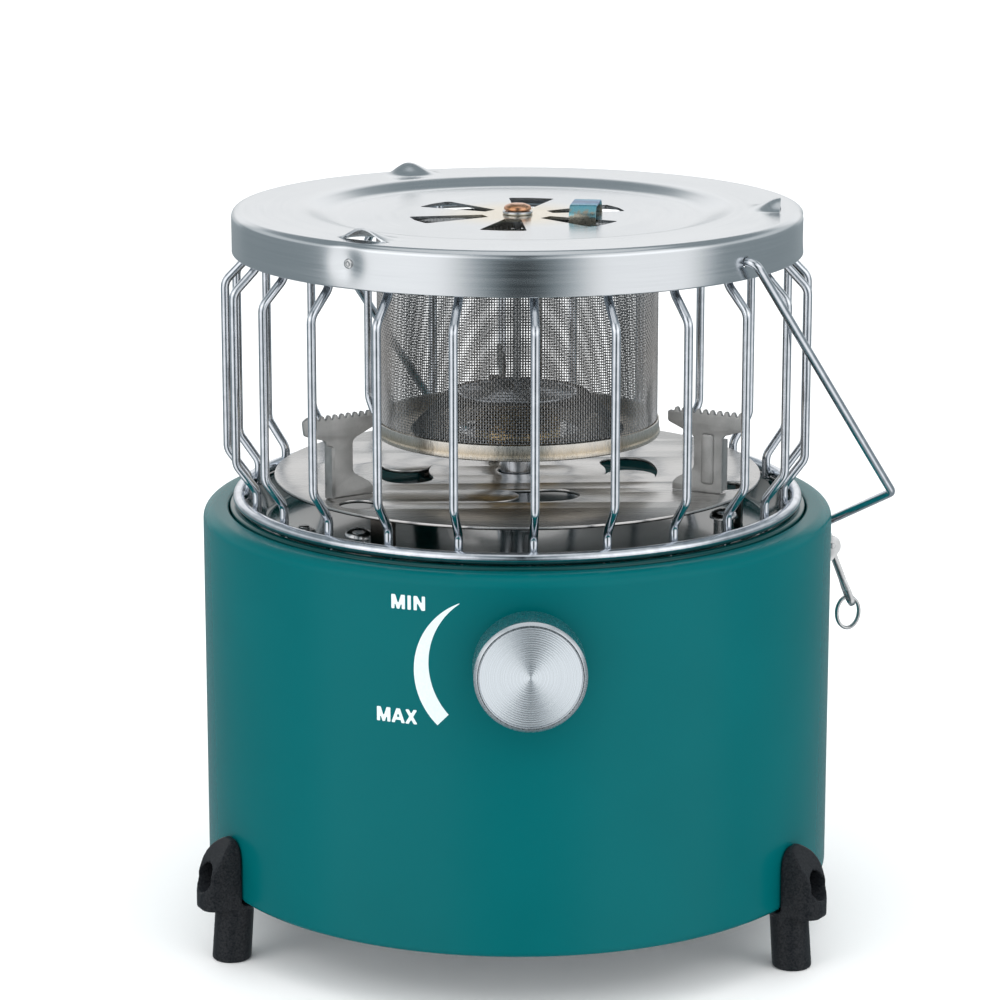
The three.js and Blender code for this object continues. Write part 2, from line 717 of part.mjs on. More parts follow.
/** A strip bent over the bridge between two neighbouring cap slots. */
function heatClip() {
  const outer = [
    [10.2, RECESS_TOP - 4],
    [10.2, RECESS_TOP + 1.4],
    [7.8, RECESS_TOP + 3.9],
    [4, RECESS_TOP + 4.6],
  ];
  const inner = [
    [9.5, RECESS_TOP - 4],
    [9.5, RECESS_TOP + 1.1],
    [7.4, RECESS_TOP + 3.3],
    [3.9, RECESS_TOP + 3.9],
  ];
  const otherSide = (points) => points.map(([t, z]) => [-t, z]);
  const outline = [
    ...outer,
    ...otherSide(outer).reverse(),
    ...otherSide(inner),
    ...inner.toReversed(),
  ];
  const strip = blade(outline, 9.3).rotateZ(Math.PI / 2).translate(23.6, 0, 0);
  return toAzimuth(strip, CAP_SLOT_AZIMUTH + 90);
}
add('heat_clip', heatClip(), BLUED);

HUMP_AZIMUTHS.forEach((azimuth, i) => {
  const screw = turned([
    [0, 94.6],
    [1.4, 94.6],
    [1.4, CAP_RADIUS + GAP],
    [2.8, CAP_RADIUS + GAP],
    [2.5, CAP_RADIUS + 1.3],
    [1.3, CAP_RADIUS + 1.9],
    [0, CAP_RADIUS + 2],
  ], 16);
  outward(screw).translate(0, 0, SCREW_HEIGHT);
  add(`skirt_screw_${i + 1}`, toAzimuth(screw, azimuth), STEEL);
});

// -- guard: emitter --
const emitterMesh = turnedRing([
  [EMITTER_RADIUS, DISH_TOP + GAP],
  [EMITTER_RADIUS, EMITTER_TOP],
  [2.2, EMITTER_TOP],
  [2.2, EMITTER_TOP - 0.8],
  [EMITTER_RADIUS - 0.8, EMITTER_TOP - 0.8],
  [EMITTER_RADIUS - 0.8, DISH_TOP + GAP],
], BIG_ROUND);
add('emitter_mesh', emitterMesh, MESH_STEEL);

const DISH_FLOOR = DISH_BOTTOM + 1.4;
const emitterDish = turnedRing([
  [DISH_HOLE, DISH_FLOOR - 0.8],
  [EMITTER_RADIUS - 1.6, DISH_FLOOR - 0.8],
  [EMITTER_RADIUS - 0.8, DISH_BOTTOM],
  [EMITTER_RADIUS + 0.8, DISH_BOTTOM],
  [EMITTER_RADIUS + 0.8, DISH_BOTTOM + 1],
  [EMITTER_RADIUS + 0.5, DISH_FLOOR],
  [EMITTER_RADIUS + 0.5, DISH_TOP],
  [EMITTER_RADIUS - 0.3, DISH_TOP],
  [EMITTER_RADIUS - 0.3, DISH_FLOOR],
  [DISH_HOLE, DISH_FLOOR],
], BIG_ROUND);
add('emitter_dish', emitterDish, STEEL);

const emitterCone = turnedRing([
  [38, DISH_FLOOR + GAP],
  [24.9, CONE_TOP],
  [1.8, CONE_TOP],
  [1.8, CONE_TOP - 0.8],
  [24.4, CONE_TOP - 0.8],
  [37, DISH_FLOOR + GAP],
], MEDIUM_ROUND);
add('emitter_cone', emitterCone, MESH_STEEL);

// -- guard: wires and rings --
const TOP_LEG_RADIUS = 92.6;
const LOW_LEG_RADIUS = RING_RADIUS - RING_WIRE_RADIUS - GUARD_WIRE_RADIUS - 0.3;
const TOP_RING_RADIUS = TOP_LEG_RADIUS - 2 * GUARD_WIRE_RADIUS - 0.3;
const TOP_RING_HEIGHT = 243.6;
const WIRE_TOP = 245.5;

for (let i = 0; i < GUARD_WIRES; i += 1) {
  const azimuth = GUARD_FIRST_AZIMUTH + (360 / GUARD_WIRES) * i;
  const corners = [
    [LOW_LEG_RADIUS, RING_HEIGHT - 1.6],
    [LOW_LEG_RADIUS, 160.6],
    [GUARD_RADIUS, 170.4],
    [GUARD_RADIUS, 229.6],
    [TOP_LEG_RADIUS, 238.4],
    [TOP_LEG_RADIUS, WIRE_TOP],
  ].map(([radius, height]) => polar(radius, azimuth, height));
  const name = `guard_wire_${String(i + 1).padStart(2, '0')}`;
  add(name, wire(corners, GUARD_WIRE_RADIUS, 5, 2), BRIGHT_WIRE);
}
const topRing = hoop(TOP_RING_RADIUS, TOP_RING_HEIGHT, GUARD_WIRE_RADIUS, BIG_ROUND, 6);
const bottomRing = hoop(RING_RADIUS, RING_HEIGHT, RING_WIRE_RADIUS, BIG_ROUND, 8);
add('guard_top_ring', topRing, BRIGHT_WIRE);
add('guard_bottom_ring', bottomRing, BRIGHT_WIRE);

// -- bail --
function bail() {
  const out = polar(1, BAIL_AZIMUTH, 0);
  const swing = polar(1, BAIL_AZIMUTH + 90, 0);
  const angle = radians(BAIL_REST_ANGLE);
  const down = new THREE.Vector3(0, 0, -Math.cos(angle)).addScaledVector(swing, Math.sin(angle));
  const place = ([p, q]) =>
    new THREE.Vector3(0, 0, BAIL_HEIGHT).addScaledVector(out, p).addScaledVector(down, q);
  const half = [
    [94.8, 0],
    [102.6, 0],
    [106, BAIL_ARM],
  ];
  const mirrored = half.map(([p, q]) => [-p, q]).reverse();
  return wire([...half, [0, BAIL_APEX], ...mirrored].map(place), BAIL_WIRE_RADIUS, 5);
}
add('bail', bail(), BRIGHT_WIRE);

export default heater;
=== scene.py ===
"""A portable camping heater: the look of every piece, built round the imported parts.

Shapes are made in millimetres, with x and y from the heater's axis and z from the floor, and
turned into metres in the row frame when a piece is made. Azimuth 0 faces the knob (-Y) and
grows towards +X, as in the part's own source.
"""
import json
import math

import bmesh
import bpy
import numpy as np
from mathutils import Matrix, Vector


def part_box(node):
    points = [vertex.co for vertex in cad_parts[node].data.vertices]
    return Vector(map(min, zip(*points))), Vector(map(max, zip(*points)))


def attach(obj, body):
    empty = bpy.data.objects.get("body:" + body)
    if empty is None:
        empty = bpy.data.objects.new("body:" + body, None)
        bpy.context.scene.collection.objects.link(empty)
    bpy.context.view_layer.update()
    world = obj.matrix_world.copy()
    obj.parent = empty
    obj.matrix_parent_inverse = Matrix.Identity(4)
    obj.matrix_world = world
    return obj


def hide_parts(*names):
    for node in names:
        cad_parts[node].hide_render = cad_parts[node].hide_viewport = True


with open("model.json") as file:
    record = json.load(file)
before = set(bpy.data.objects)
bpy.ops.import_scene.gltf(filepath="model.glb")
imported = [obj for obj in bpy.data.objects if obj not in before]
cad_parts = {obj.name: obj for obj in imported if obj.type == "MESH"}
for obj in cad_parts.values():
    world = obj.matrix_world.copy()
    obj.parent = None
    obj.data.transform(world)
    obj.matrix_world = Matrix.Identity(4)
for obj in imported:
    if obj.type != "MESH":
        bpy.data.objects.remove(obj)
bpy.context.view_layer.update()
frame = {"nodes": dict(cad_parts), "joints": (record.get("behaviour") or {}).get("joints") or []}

MM = 0.001
JOINTS = {joint["name"]: joint for joint in frame["joints"]}
AXIS = np.array([*JOINTS["bail_swing"]["pos_m"][:2], 0.0]) / MM


# ---------------------------------------------------------------- reading the frame
def node_points(node):
    """The corners of a CAD node, in millimetres from the heater's axis."""
    return np.array([tuple(v.co) for v in frame["nodes"][node].data.vertices]) / MM - AXIS


def joint_point(name):
    return np.array(JOINTS[name]["pos_m"]) / MM - AXIS


def reach(node):
    """A turned node's largest radius about the heater's axis."""
    return float(np.hypot(*node_points(node)[:, :2].T).max())


def bore(node):
    """A turned node's smallest radius about the heater's axis."""
    return float(np.hypot(*node_points(node)[:, :2].T).min())


def bottom(node):
    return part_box(node)[0].z / MM


def top(node):
    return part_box(node)[1].z / MM


def middle(node):
    """The middle of a node's box."""
    low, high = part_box(node)
    return np.array((low + high) / 2) / MM - AXIS


def mid_height(node):
    return (bottom(node) + top(node)) / 2


def mid_radius(node):
    """A turned node's radius halfway between its bore and its reach."""
    return (reach(node) + bore(node)) / 2


def azimuth_to(x, y):
    """The direction from the heater's axis to a point, in degrees."""
    return math.degrees(math.atan2(x, -y))


def azimuth_of(node):
    """The direction from the heater's axis to the middle of a node's box."""
    return azimuth_to(*middle(node)[:2])


def polar(radius, azimuth, height):
    angle = math.radians(azimuth)
    return np.array([radius * math.sin(angle), -radius * math.cos(angle), height])


# ---------------------------------------------------------------- shapes
class Shape:
    """Points in millimetres and the faces between them."""

    def __init__(self, points, faces):
        self.points = np.asarray(points, float).reshape(-1, 3)
        self.faces = faces

    def __add__(self, other):
        shift = len(self.points)
        moved = [tuple(i + shift for i in face) for face in other.faces]
        return Shape(np.vstack([self.points, other.points]), [*self.faces, *moved])

    def mapped(self, function):
        return Shape(function(self.points), self.faces)

    def by(self, matrix):
        m = np.array(matrix)
        return self.mapped(lambda p: p @ m[:3, :3].T + m[:3, 3])

    def shifted(self, x, y, z):
        return self.mapped(lambda p: p + np.array([x, y, z]))

    def rotated(self, degrees, axis):
        return self.by(Matrix.Rotation(math.radians(degrees), 4, axis))

    def to_azimuth(self, azimuth):
        """Turns a shape built along +X to point along an azimuth."""
        return self.rotated(azimuth - 90, "Z")


def together(shapes):
    shapes = list(shapes)
    whole = shapes[0]
    for shape in shapes[1:]:
        whole = whole + shape
    return whole


def corner_arc(before, here, after, radius, steps, share):
    """The arc that rounds a corner, which takes no more than a share of either side."""
    a, b = before - here, after - here
    a_length, b_length = np.linalg.norm(a), np.linalg.norm(b)
    a, b = a / a_length, b / b_length
    half = math.acos(max(-1.0, min(1.0, float(a @ b)))) / 2
    size = min(radius / math.tan(half), a_length * share, b_length * share)
    start, end = here + a * size, here + b * size
    # A rational quadratic with this middle weight is a true arc.
    weight = math.sin(half)
    arc = []
    for step in range(steps + 1):
        t = step / steps
        w = (1 - t) ** 2 + 2 * t * (1 - t) * weight + t * t
        at = (1 - t) ** 2 * start + 2 * t * (1 - t) * weight * here + t * t * end
        arc.append(at / w)
    return arc


def rounded(corners, steps):
    """A closed outline from (u, v) or (u, v, radius) corners, each rounded by its radius."""
    points = [np.array(corner[:2], float) for corner in corners]
    outline = []
    for i, corner in enumerate(corners):
        radius = corner[2] if len(corner) > 2 else 0
        before, here, after = points[i - 1], points[i], points[(i + 1) % len(points)]
        outline += corner_arc(before, here, after, radius, steps, 0.49) if radius else [here]
    return [tuple(point) for point in outline]


def ring_of(centre, radius, steps, start=0.0, span=360.0):
    """Points round a circle in a plane, without repeating the first on a full turn."""
    count = steps if span == 360 else steps + 1
    angles = [math.radians(start + span * i / steps) for i in range(count)]
    return [(centre[0] + radius * math.cos(a), centre[1] + radius * math.sin(a)) for a in angles]


def skin(rows, size, loop=False, start=0, turned=False):
    """The faces between rows of points. A loop's last row meets its first."""
    faces = []
    for row in range(rows if loop else rows - 1):
        a, b = start + row * size, start + (row + 1) % rows * size
        for i in range(size):
            j = (i + 1) % size
            faces.append((a + i, b + i, b + j, a + j) if turned else
                         (a + i, a + j, b + j, b + i))
    return faces


def lathe(profile, segments):
    """A (radius, height) profile turned about Z: closed on itself, or from axis to axis."""
    solid = abs(profile[0][0]) < 1e-6 and abs(profile[-1][0]) < 1e-6
    rows = profile[1:-1] if solid else profile
    angles = np.linspace(0, 2 * np.pi, segments, endpoint=False)
    points = np.array([
        (radius * math.sin(a), -radius * math.cos(a), height)
        for radius, height in rows for a in angles
    ])
    faces = skin(len(rows), segments, loop=not solid)
    if solid:
        low, high = len(points), len(points) + 1
        points = np.vstack([points, [(0, 0, profile[0][1]), (0, 0, profile[-1][1])]])
        last = (len(rows) - 1) * segments
        for i in range(segments):
            j = (i + 1) % segments
            faces.append((low, j, i))
            faces.append((high, last + i, last + j))
    return Shape(points, faces)


def turned(corners, steps, segments):
    """A profile with rounded corners, in radius and height, turned about Z."""
    return lathe(rounded(corners, steps), segments)


def frames_along(path):
    """The tangent and two normals at each point of a path, without twist."""
    tangents = np.roll(path, -1, axis=0) - np.roll(path, 1, axis=0)
    tangents[0] = path[1] - path[0]
    tangents[-1] = path[-1] - path[-2]
    tangents /= np.linalg.norm(tangents, axis=1)[:, None]
    side = np.cross(tangents[0], [0.31, 0.17, 0.93])
    sides = []
    for tangent in tangents:
        side = side - tangent * (side @ tangent)
        side = side / np.linalg.norm(side)
        sides.append(side)
    sides = np.array(sides)
    return tangents, sides, np.cross(tangents, sides)


def tube(path, radius, sides):
    """A round wire along a path, with slightly domed ends."""
    path = np.asarray(path, float)
    tangents, across, up = frames_along(path)
    turns = np.linspace(0, 2 * np.pi, sides, endpoint=False)

    def cap(i, direction):
        return path[i] + tangents[i] * direction * radius * 0.35, across[i], up[i], radius * 0.55
    rings = [(path[i], across[i], up[i], radius) for i in range(len(path))]
    rings = [cap(0, -1), *rings, cap(len(path) - 1, 1)]
    points = np.array([
        centre + size * (math.cos(a) * u + math.sin(a) * v)
        for centre, u, v, size in rings for a in turns
    ])
    faces = skin(len(rings), sides, turned=True)
    faces.append(tuple(range(sides)))
    faces.append(tuple(reversed(range(len(points) - sides, len(points)))))
    return Shape(points, faces)


def bent(corners, bend, steps):
    """A wire's centre line through corners, each rounded to a bend radius."""
    corners = [np.array(corner, float) for corner in corners]
    path = [corners[0]]
    for i in range(1, len(corners) - 1):
        path += corner_arc(*corners[i - 1:i + 2], bend, steps, 0.45)
    return [*path, corners[-1]]


def swept_strip(path, section):
    """A strip along a path in the X-Z plane, from a section in (across, thick)."""
    tangents, _, _ = frames_along(np.array(path))
    points = []
    for centre, tangent in zip(path, tangents):
        normal = np.array([-tangent[2], 0, tangent[0]])
        points += [centre + np.array([0, across, 0]) + normal * thick for across, thick in section]
    size = len(section)
    ends = [tuple(reversed(range(size))), tuple(range(len(points) - size, len(points)))]
    return Shape(points, skin(len(path), size) + ends)


def hoop(radius, height, wire, segments, sides):
    return lathe([(radius + u, height + v) for u, v in ring_of((0, 0), wire, sides)], segments)


def evaluated(obj):
    """The object's mesh with its modifiers, as a Shape. The object is deleted."""
    graph = bpy.context.evaluated_depsgraph_get()
    mesh = bpy.data.meshes.new_from_object(obj.evaluated_get(graph))
    skin = bmesh.new()
    skin.from_mesh(mesh)
    bmesh.ops.remove_doubles(skin, verts=skin.verts, dist=1e-4)
    bmesh.ops.recalc_face_normals(skin, faces=skin.faces)
    shape = Shape(
        np.array([tuple(v.co) for v in skin.verts]),
        [tuple(v.index for v in face.verts) for face in skin.faces],
    )
    skin.free()
    bpy.data.objects.remove(obj)
    bpy.data.meshes.remove(mesh)
    return shape


def workpiece(shape):
    """A plain object, in the shape's own units, for Blender's modifiers to work on."""
    mesh = bpy.data.meshes.new("work")
    mesh.from_pydata([tuple(p) for p in shape.points], [], shape.faces)
    mesh.validate()
    obj = bpy.data.objects.new("work", mesh)
    bpy.context.scene.collection.objects.link(obj)
    return obj


def combined(shape, tools, operation):
    """Joins tools to a shape, or cuts them from it."""
    obj = workpiece(shape)
    helpers = []
    for tool in tools:
        helper = workpiece(tool)
        helpers.append(helper)
        modifier = obj.modifiers.new("tool", "BOOLEAN")
        modifier.object = helper
        modifier.operation = operation
        modifier.solver = "MANIFOLD"
    result = evaluated(obj)
    for helper in helpers:
        bpy.data.objects.remove(helper)
    return result


def cut(shape, *tools):
    return combined(shape, tools, "DIFFERENCE")


def joined(shape, *tools):
    return combined(shape, tools, "UNION")


def common(shape, tool):
    return combined(shape, [tool], "INTERSECT")


def moulded(shape, voxel, smoothing):
    """The shape with its corners melted together, as a plastic moulding's are."""
    obj = workpiece(shape)
    remesh = obj.modifiers.new("remesh", "REMESH")
    remesh.mode = "VOXEL"
    remesh.voxel_size = voxel
    smooth = obj.modifiers.new("smooth", "SMOOTH")
    smooth.factor = 0.5
    smooth.iterations = smoothing
    return evaluated(obj)


def plate(outline, low, high, holes=(), bevel=0.0):
    """A flat outline with holes, made thick along Z with bevelled edges."""
    curve = bpy.data.curves.new("plate", "CURVE")
    curve.dimensions = "2D"
    curve.fill_mode = "BOTH"
    curve.extrude = (high - low) / 2 - bevel
    curve.bevel_depth = bevel
    curve.bevel_resolution = 1
    curve.offset = -bevel
    for loop in [outline, *holes]:
        spline = curve.splines.new("POLY")
        spline.points.add(len(loop) - 1)
        for point, (u, v) in zip(spline.points, loop):
            point.co = (u, v, 0, 1)
        spline.use_cyclic_u = True
    obj = bpy.data.objects.new("plate", curve)
    bpy.context.scene.collection.objects.link(obj)
    return evaluated(obj).shifted(0, 0, (low + high) / 2)


def blade(outline, thickness, bevel=0.0, holes=()):
    """An outline in radius and height, centred on the X-Z plane."""
    flat = plate(outline, -thickness / 2, thickness / 2, holes, bevel)
    return flat.rotated(90, "X")


def block(low, high, bevel=0.0):
    outline = [(low[0], low[1]), (high[0], low[1]), (high[0], high[1]), (low[0], high[1])]
    return plate(outline, low[2], high[2], bevel=bevel)


def rod(radius, low, high, segments=32, bevel=0.0):
    """A solid cylinder along Z with rounded edges."""
    corners = [(0, low), (radius, low, bevel), (radius, high, bevel), (0, high)]
    return turned(corners, 3, segments)


# ---------------------------------------------------------------- fasteners
def cross_screw(radius, height):
    """A domed cross-recess screw head that stands on z = 0, pointing along +Z."""
    dome = [
        (0, 0), (radius, 0), (radius * 0.97, height * 0.3), (radius * 0.84, height * 0.66),
        (radius * 0.55, height * 0.92), (radius * 0.25, height), (0, height),
    ]
    arms = []
    for turn in (0, 90):
        arm = rounded([
            (-radius * 0.5, -radius * 0.1, 0.1), (radius * 0.5, -radius * 0.1, 0.1),
            (radius * 0.5, radius * 0.1, 0.1), (-radius * 0.5, radius * 0.1, 0.1),
        ], 2)
        arms.append(plate(arm, height * 0.45, height * 2).rotated(turn, "Z"))
    return cut(lathe(dome, 40), *arms)


def hex_nut(across, height, hole):
    """A chamfered nut standing on z = 0."""
    corner = across / math.sqrt(3)
    outline = ring_of((0, 0), corner, 6)
    prism = plate(outline, 0, height)
    chamfer = lathe([
        (0, 0), (across * 0.48, 0), (corner * 1.01, height * 0.2),
        (corner * 1.01, height * 0.8), (across * 0.48, height), (0, height),
    ], 48)
    return cut(common(prism, chamfer), rod(hole, -1, height + 1, 32))


# ---------------------------------------------------------------- materials
BLACK, WHITE = (0, 0, 0), (1, 1, 1)


def mixed(colour, share, other):
    return tuple(a * (1 - share) + b * share for a, b in zip(colour, other))


class Nodes:
    """Short calls for building a node tree."""

    def __init__(self, owner):
        owner.use_nodes = True
        self.tree = owner.node_tree
        self.tree.nodes.clear()

    def node(self, kind, **settings):
        made = self.tree.nodes.new(kind)
        for key, value in settings.items():
            setattr(made, key, value)
        return made

    def link(self, source, target):
        self.tree.links.new(source, target)

    def node_from(self, kind, source, **settings):
        made = self.node(kind, **settings)
        self.link(source, made.inputs[0])
        return made

    def math(self, operation, *values):
        made = self.node("ShaderNodeMath", operation=operation)
        for slot, value in zip(made.inputs, values):
            if isinstance(value, (int, float)):
                slot.default_value = value
            else:
                self.link(value, slot)
        return made.outputs[0]

    def weighted(self, one, weight, other, other_weight):
        return self.math("ADD", self.math("MULTIPLY", one, weight),
                         self.math("MULTIPLY", other, other_weight))

    def radius(self, x, y):
        return self.math("SQRT", self.math("ADD", self.math("MULTIPLY", x, x),
                                           self.math("MULTIPLY", y, y)))

    def split(self, vector):
        return self.node_from("ShaderNodeSeparateXYZ", vector).outputs

    def spread(self, value, low, high, start=0.35, end=0.65, smooth=False):
        """Maps start to end onto low to high, held at both ends."""
        made = self.node("ShaderNodeMapRange")
        made.interpolation_type = "SMOOTHSTEP" if smooth else "LINEAR"
        self.link(value, made.inputs["Value"])
        made.inputs["From Min"].default_value = start
        made.inputs["From Max"].default_value = end
        made.inputs["To Min"].default_value = low
        made.inputs["To Max"].default_value = high
        return made.outputs["Result"]

    def ramp(self, value, stops):
        """A colour ramp through (place, colour or grey) stops."""
        made = self.node_from("ShaderNodeValToRGB", value)
        elements = made.color_ramp.elements
        while len(elements) < len(stops):
            elements.new(0.5)
        for element, (position, colour) in zip(elements, stops):
            element.position = position
            shade = (colour,) * 3 if isinstance(colour, (int, float)) else colour
            element.color = (*shade, 1)
        return made.outputs["Color"]


class Finish(Nodes):
    """Builds one material's node tree round a Principled shader."""

    def __init__(self, name, metallic, **sockets):
        self.material = bpy.data.materials.new(name)
        super().__init__(self.material)
        self.shader = self.node("ShaderNodeBsdfPrincipled")
        output = self.node("ShaderNodeOutputMaterial")
        self.link(self.shader.outputs[0], output.inputs[0])
        self.set("Metallic", metallic)
        for socket, value in sockets.items():
            self.set(socket.replace("_", " "), value)
        self.heights = None

    def set(self, socket, value):
        self.shader.inputs[socket].default_value = value

    def place(self, scale=(1, 1, 1), shift=(0, 0, 0)):
        """The point on the piece in millimetres from the heater's axis, then scaled."""
        coordinate = self.node("ShaderNodeTexCoord").outputs["Object"]
        scaled = self.node("ShaderNodeVectorMath", operation="MULTIPLY_ADD")
        self.link(coordinate, scaled.inputs[0])
        scaled.inputs[1].default_value = [s / MM for s in scale]
        scaled.inputs[2].default_value = [
            (move - centre) * s for move, centre, s in zip(shift, AXIS, scale)]
        return scaled.outputs[0]

    def around(self, turn_scale, across_scale):
        """Coordinates that run slowly round the heater's axis and fast across it."""
        x, y, z = self.split(self.place())
        radius = self.radius(x, y)
        made = self.node("ShaderNodeCombineXYZ")
        safe = self.math("MAXIMUM", radius, 0.01)
        self.link(self.math("MULTIPLY", self.math("DIVIDE", x, safe), turn_scale), made.inputs[0])
        self.link(self.math("MULTIPLY", self.math("DIVIDE", y, safe), turn_scale), made.inputs[1])
        self.link(self.math("MULTIPLY", self.math("ADD", radius, z), across_scale), made.inputs[2])
        return made.outputs[0]

    def noise(self, vector, scale, detail=3.0, roughness=0.5):
        made = self.node("ShaderNodeTexNoise")
        self.link(vector, made.inputs["Vector"])
        made.inputs["Scale"].default_value = scale
        made.inputs["Detail"].default_value = detail
        made.inputs["Roughness"].default_value = roughness
        return made.outputs["Fac"]

    def blend(self, share, one, other):
        """One colour turned into another by a share, each a colour or a socket."""
        made = self.node("ShaderNodeMix", data_type="RGBA")
        for slot, value in zip((made.inputs[0], made.inputs[6], made.inputs[7]),
                               (share, one, other)):
            if isinstance(value, tuple):
                slot.default_value = (*value, 1)
            else:
                self.link(value, slot)
        return made.outputs[2]

    def shades(self, value, colour, dark, light, start=0.3, end=0.7):
        """A colour darkened by a share at the start of a value and lightened at its end."""
        return self.ramp(value, [(start, mixed(colour, dark, BLACK)),
                                 (end, mixed(colour, light, WHITE))])

    def colour(self, source):
        self.link(source, self.shader.inputs["Base Color"])

    def roughness(self, source):
        self.link(source, self.shader.inputs["Roughness"])

    def bump(self, height, depth):
        """Adds a height to the bump, with its depth in millimetres."""
        made = self.node("ShaderNodeBump")
        made.inputs["Strength"].default_value = 1.0
        made.inputs["Distance"].default_value = depth * MM
        self.link(height, made.inputs["Height"])
        if self.heights is not None:
            self.link(self.heights, made.inputs["Normal"])
        self.heights = made.outputs[0]
        self.link(self.heights, self.shader.inputs["Normal"])


def enamel(name, colour, roughness, coat):
    """Sprayed enamel: a little orange peel, slow shade changes and a clear top coat."""
    finish = Finish(name, 0.0, Coat_Weight=coat, Coat_Roughness=0.06, Specular_IOR_Level=0.09)
    cloud = finish.noise(finish.place(), 0.02, 2)
    darker, lighter = mixed(colour, 0.04, BLACK), mixed(colour, -0.03, BLACK)
    finish.colour(finish.ramp(cloud, [(0.3, darker), (0.7, lighter)]))
    peel = finish.noise(finish.place(), 0.9, 2)
    finish.roughness(finish.spread(peel, roughness * 0.9, roughness * 1.1))
    finish.bump(peel, 0.006)
    return finish.material


def brushed(name, colour, roughness, along=None, turn=2.0, across=2.5, depth=0.006, dark=0.12,
            tint=None, painted_shade_below=None):
    """Brushed metal: fine lines round the axis, or along one direction of the row frame.

    A tint is a colour that heat has left round the axis, out to a radius. The painted shade
    below a height is a dark colour laid on everything under it, where a sheet's underside lies
    in shadow.
    """
    finish = Finish(name, 1.0)
    lines = finish.place(along) if along else finish.around(turn, across)
    streak = finish.noise(lines, 1.0, 4, 0.7)
    broad = finish.noise(finish.place(), 0.03, 2)
    tone = finish.weighted(streak, 0.7, broad, 0.3)
    shade = finish.shades(tone, colour, dark, 0.1)
    if tint:
        x, y, _ = finish.split(finish.place())
        heated = finish.spread(finish.radius(x, y), 0.8, 0.0, tint[1] * 0.3, tint[1], True)
        shade = finish.blend(heated, shade, tint[0])
    # Painted shade: everything below the height turns towards the dark colour, as a shadowed
    # underside does.
    if painted_shade_below:
        height = finish.split(finish.place())[2]
        below = finish.spread(height, 1.0, 0.0, painted_shade_below[1] - 0.2, painted_shade_below[1] + 0.1)
        shade = finish.blend(below, shade, painted_shade_below[0])
    finish.colour(shade)
    finish.roughness(finish.spread(tone, roughness * 0.75, roughness * 1.3))
    finish.bump(streak, depth)
    return finish.material


def plated(name, colour, roughness):
    """Bright plating on drawn wire: faint clouding and fine pits."""
    finish = Finish(name, 1.0)
    cloud = finish.noise(finish.place(), 0.25, 3)
    finish.colour(finish.shades(cloud, colour, 0.18, 0.12))
    finish.roughness(finish.spread(cloud, roughness * 0.8, roughness * 1.4))
    finish.bump(finish.noise(finish.place(), 1.6, 3), 0.008)
    return finish.material


def blasted(name, colour):
    """Bead-blasted steel: an even fine grain."""
    finish = Finish(name, 1.0)
    grain = finish.noise(finish.place(), 5.0, 4, 0.7)
    cloud = finish.noise(finish.place(), 0.15, 2)
    tone = finish.weighted(grain, 0.6, cloud, 0.4)
    finish.colour(finish.shades(tone, colour, 0.35, 0.15, 0.35, 0.65))
    finish.roughness(finish.spread(grain, 0.42, 0.58))
    finish.bump(grain, 0.03)
    return finish.material


def clouded(name, metallic, colour, low, high, noise, roughness, depth=0.0, **sockets):
    """A finish whose colour, roughness and bump all follow one noise.

    Low and high say how far, and towards which colour, the noise's two ends turn.
    """
    finish = Finish(name, metallic, **sockets)
    cloud = finish.noise(finish.place(), *noise)
    finish.colour(finish.ramp(cloud, [(0.3, mixed(colour, *low)), (0.7, mixed(colour, *high))]))
    finish.roughness(finish.spread(cloud, *roughness))
    if depth:
        finish.bump(cloud, depth)
    return finish.material


def heat_tinted(name, base, tint, low, high):
    """Steel whose colour turns with the height, as heat leaves it."""
    finish = Finish(name, 1.0)
    height = finish.split(finish.place())[2]
    streak = finish.noise(finish.place((2.2, 2.2, 0.15)), 1.0, 4, 0.6)
    place = finish.math("ADD", finish.spread(height, 0, 0.75, low, high),
                        finish.math("MULTIPLY", streak, 0.35))
    finish.colour(finish.ramp(place, [(0.15, base), (0.45, tint), (0.75, mixed(base, 0.3, tint)),
                                      (0.95, base)]))
    finish.roughness(finish.spread(streak, 0.2, 0.34))
    finish.bump(finish.noise(finish.place(), 0.35, 3), 0.12)
    return finish.material


def blued(name):
    """A strip blued by heat: teal edges round a darker, warmer middle band."""
    finish = Finish(name, 1.0)
    x, y, _ = finish.split(finish.place())
    turn = math.radians(CLIP_AZIMUTH)
    along = finish.weighted(x, math.cos(turn), y, math.sin(turn))
    wobble = finish.math("MULTIPLY", finish.noise(finish.place(), 0.4, 3), 6.0)
    band = finish.math("ABSOLUTE", finish.math("ADD", along, finish.math("SUBTRACT", wobble, 3.0)))
    finish.colour(finish.ramp(finish.spread(band, 0, 1, 0, 10), [
        (0.0, (0.05, 0.14, 0.30)), (0.35, (0.07, 0.24, 0.46)),
        (0.65, (0.12, 0.40, 0.52)), (0.9, (0.20, 0.44, 0.50)), (1.0, (0.36, 0.34, 0.28)),
    ]))
    speckle = finish.noise(finish.place(), 3.0, 3)
    finish.roughness(finish.spread(speckle, 0.2, 0.4))
    finish.bump(speckle, 0.02)
    return finish.material


def turned_face(name, colour, centre_height):
    """Turned aluminium: fine rings about the knob's axis, which pull the light into a fan."""
    finish = Finish(name, 1.0, Anisotropic=0.85)
    x, _, z = finish.split(finish.place(shift=(0, 0, -centre_height)))
    ring = finish.node("ShaderNodeCombineXYZ")
    finish.link(finish.math("MULTIPLY", finish.radius(x, z), 4.0), ring.inputs[0])
    grooves = finish.noise(ring.outputs[0], 1.0, 3, 0.7)
    finish.colour(finish.shades(grooves, colour, 0.2, 0.1, 0.35, 0.65))
    finish.roughness(finish.spread(grooves, 0.2, 0.28))
    finish.bump(grooves, 0.012)
    tangent = finish.node("ShaderNodeTangent", direction_type="RADIAL", axis="Y")
    finish.link(tangent.outputs[0], finish.shader.inputs["Tangent"])
    return finish.material


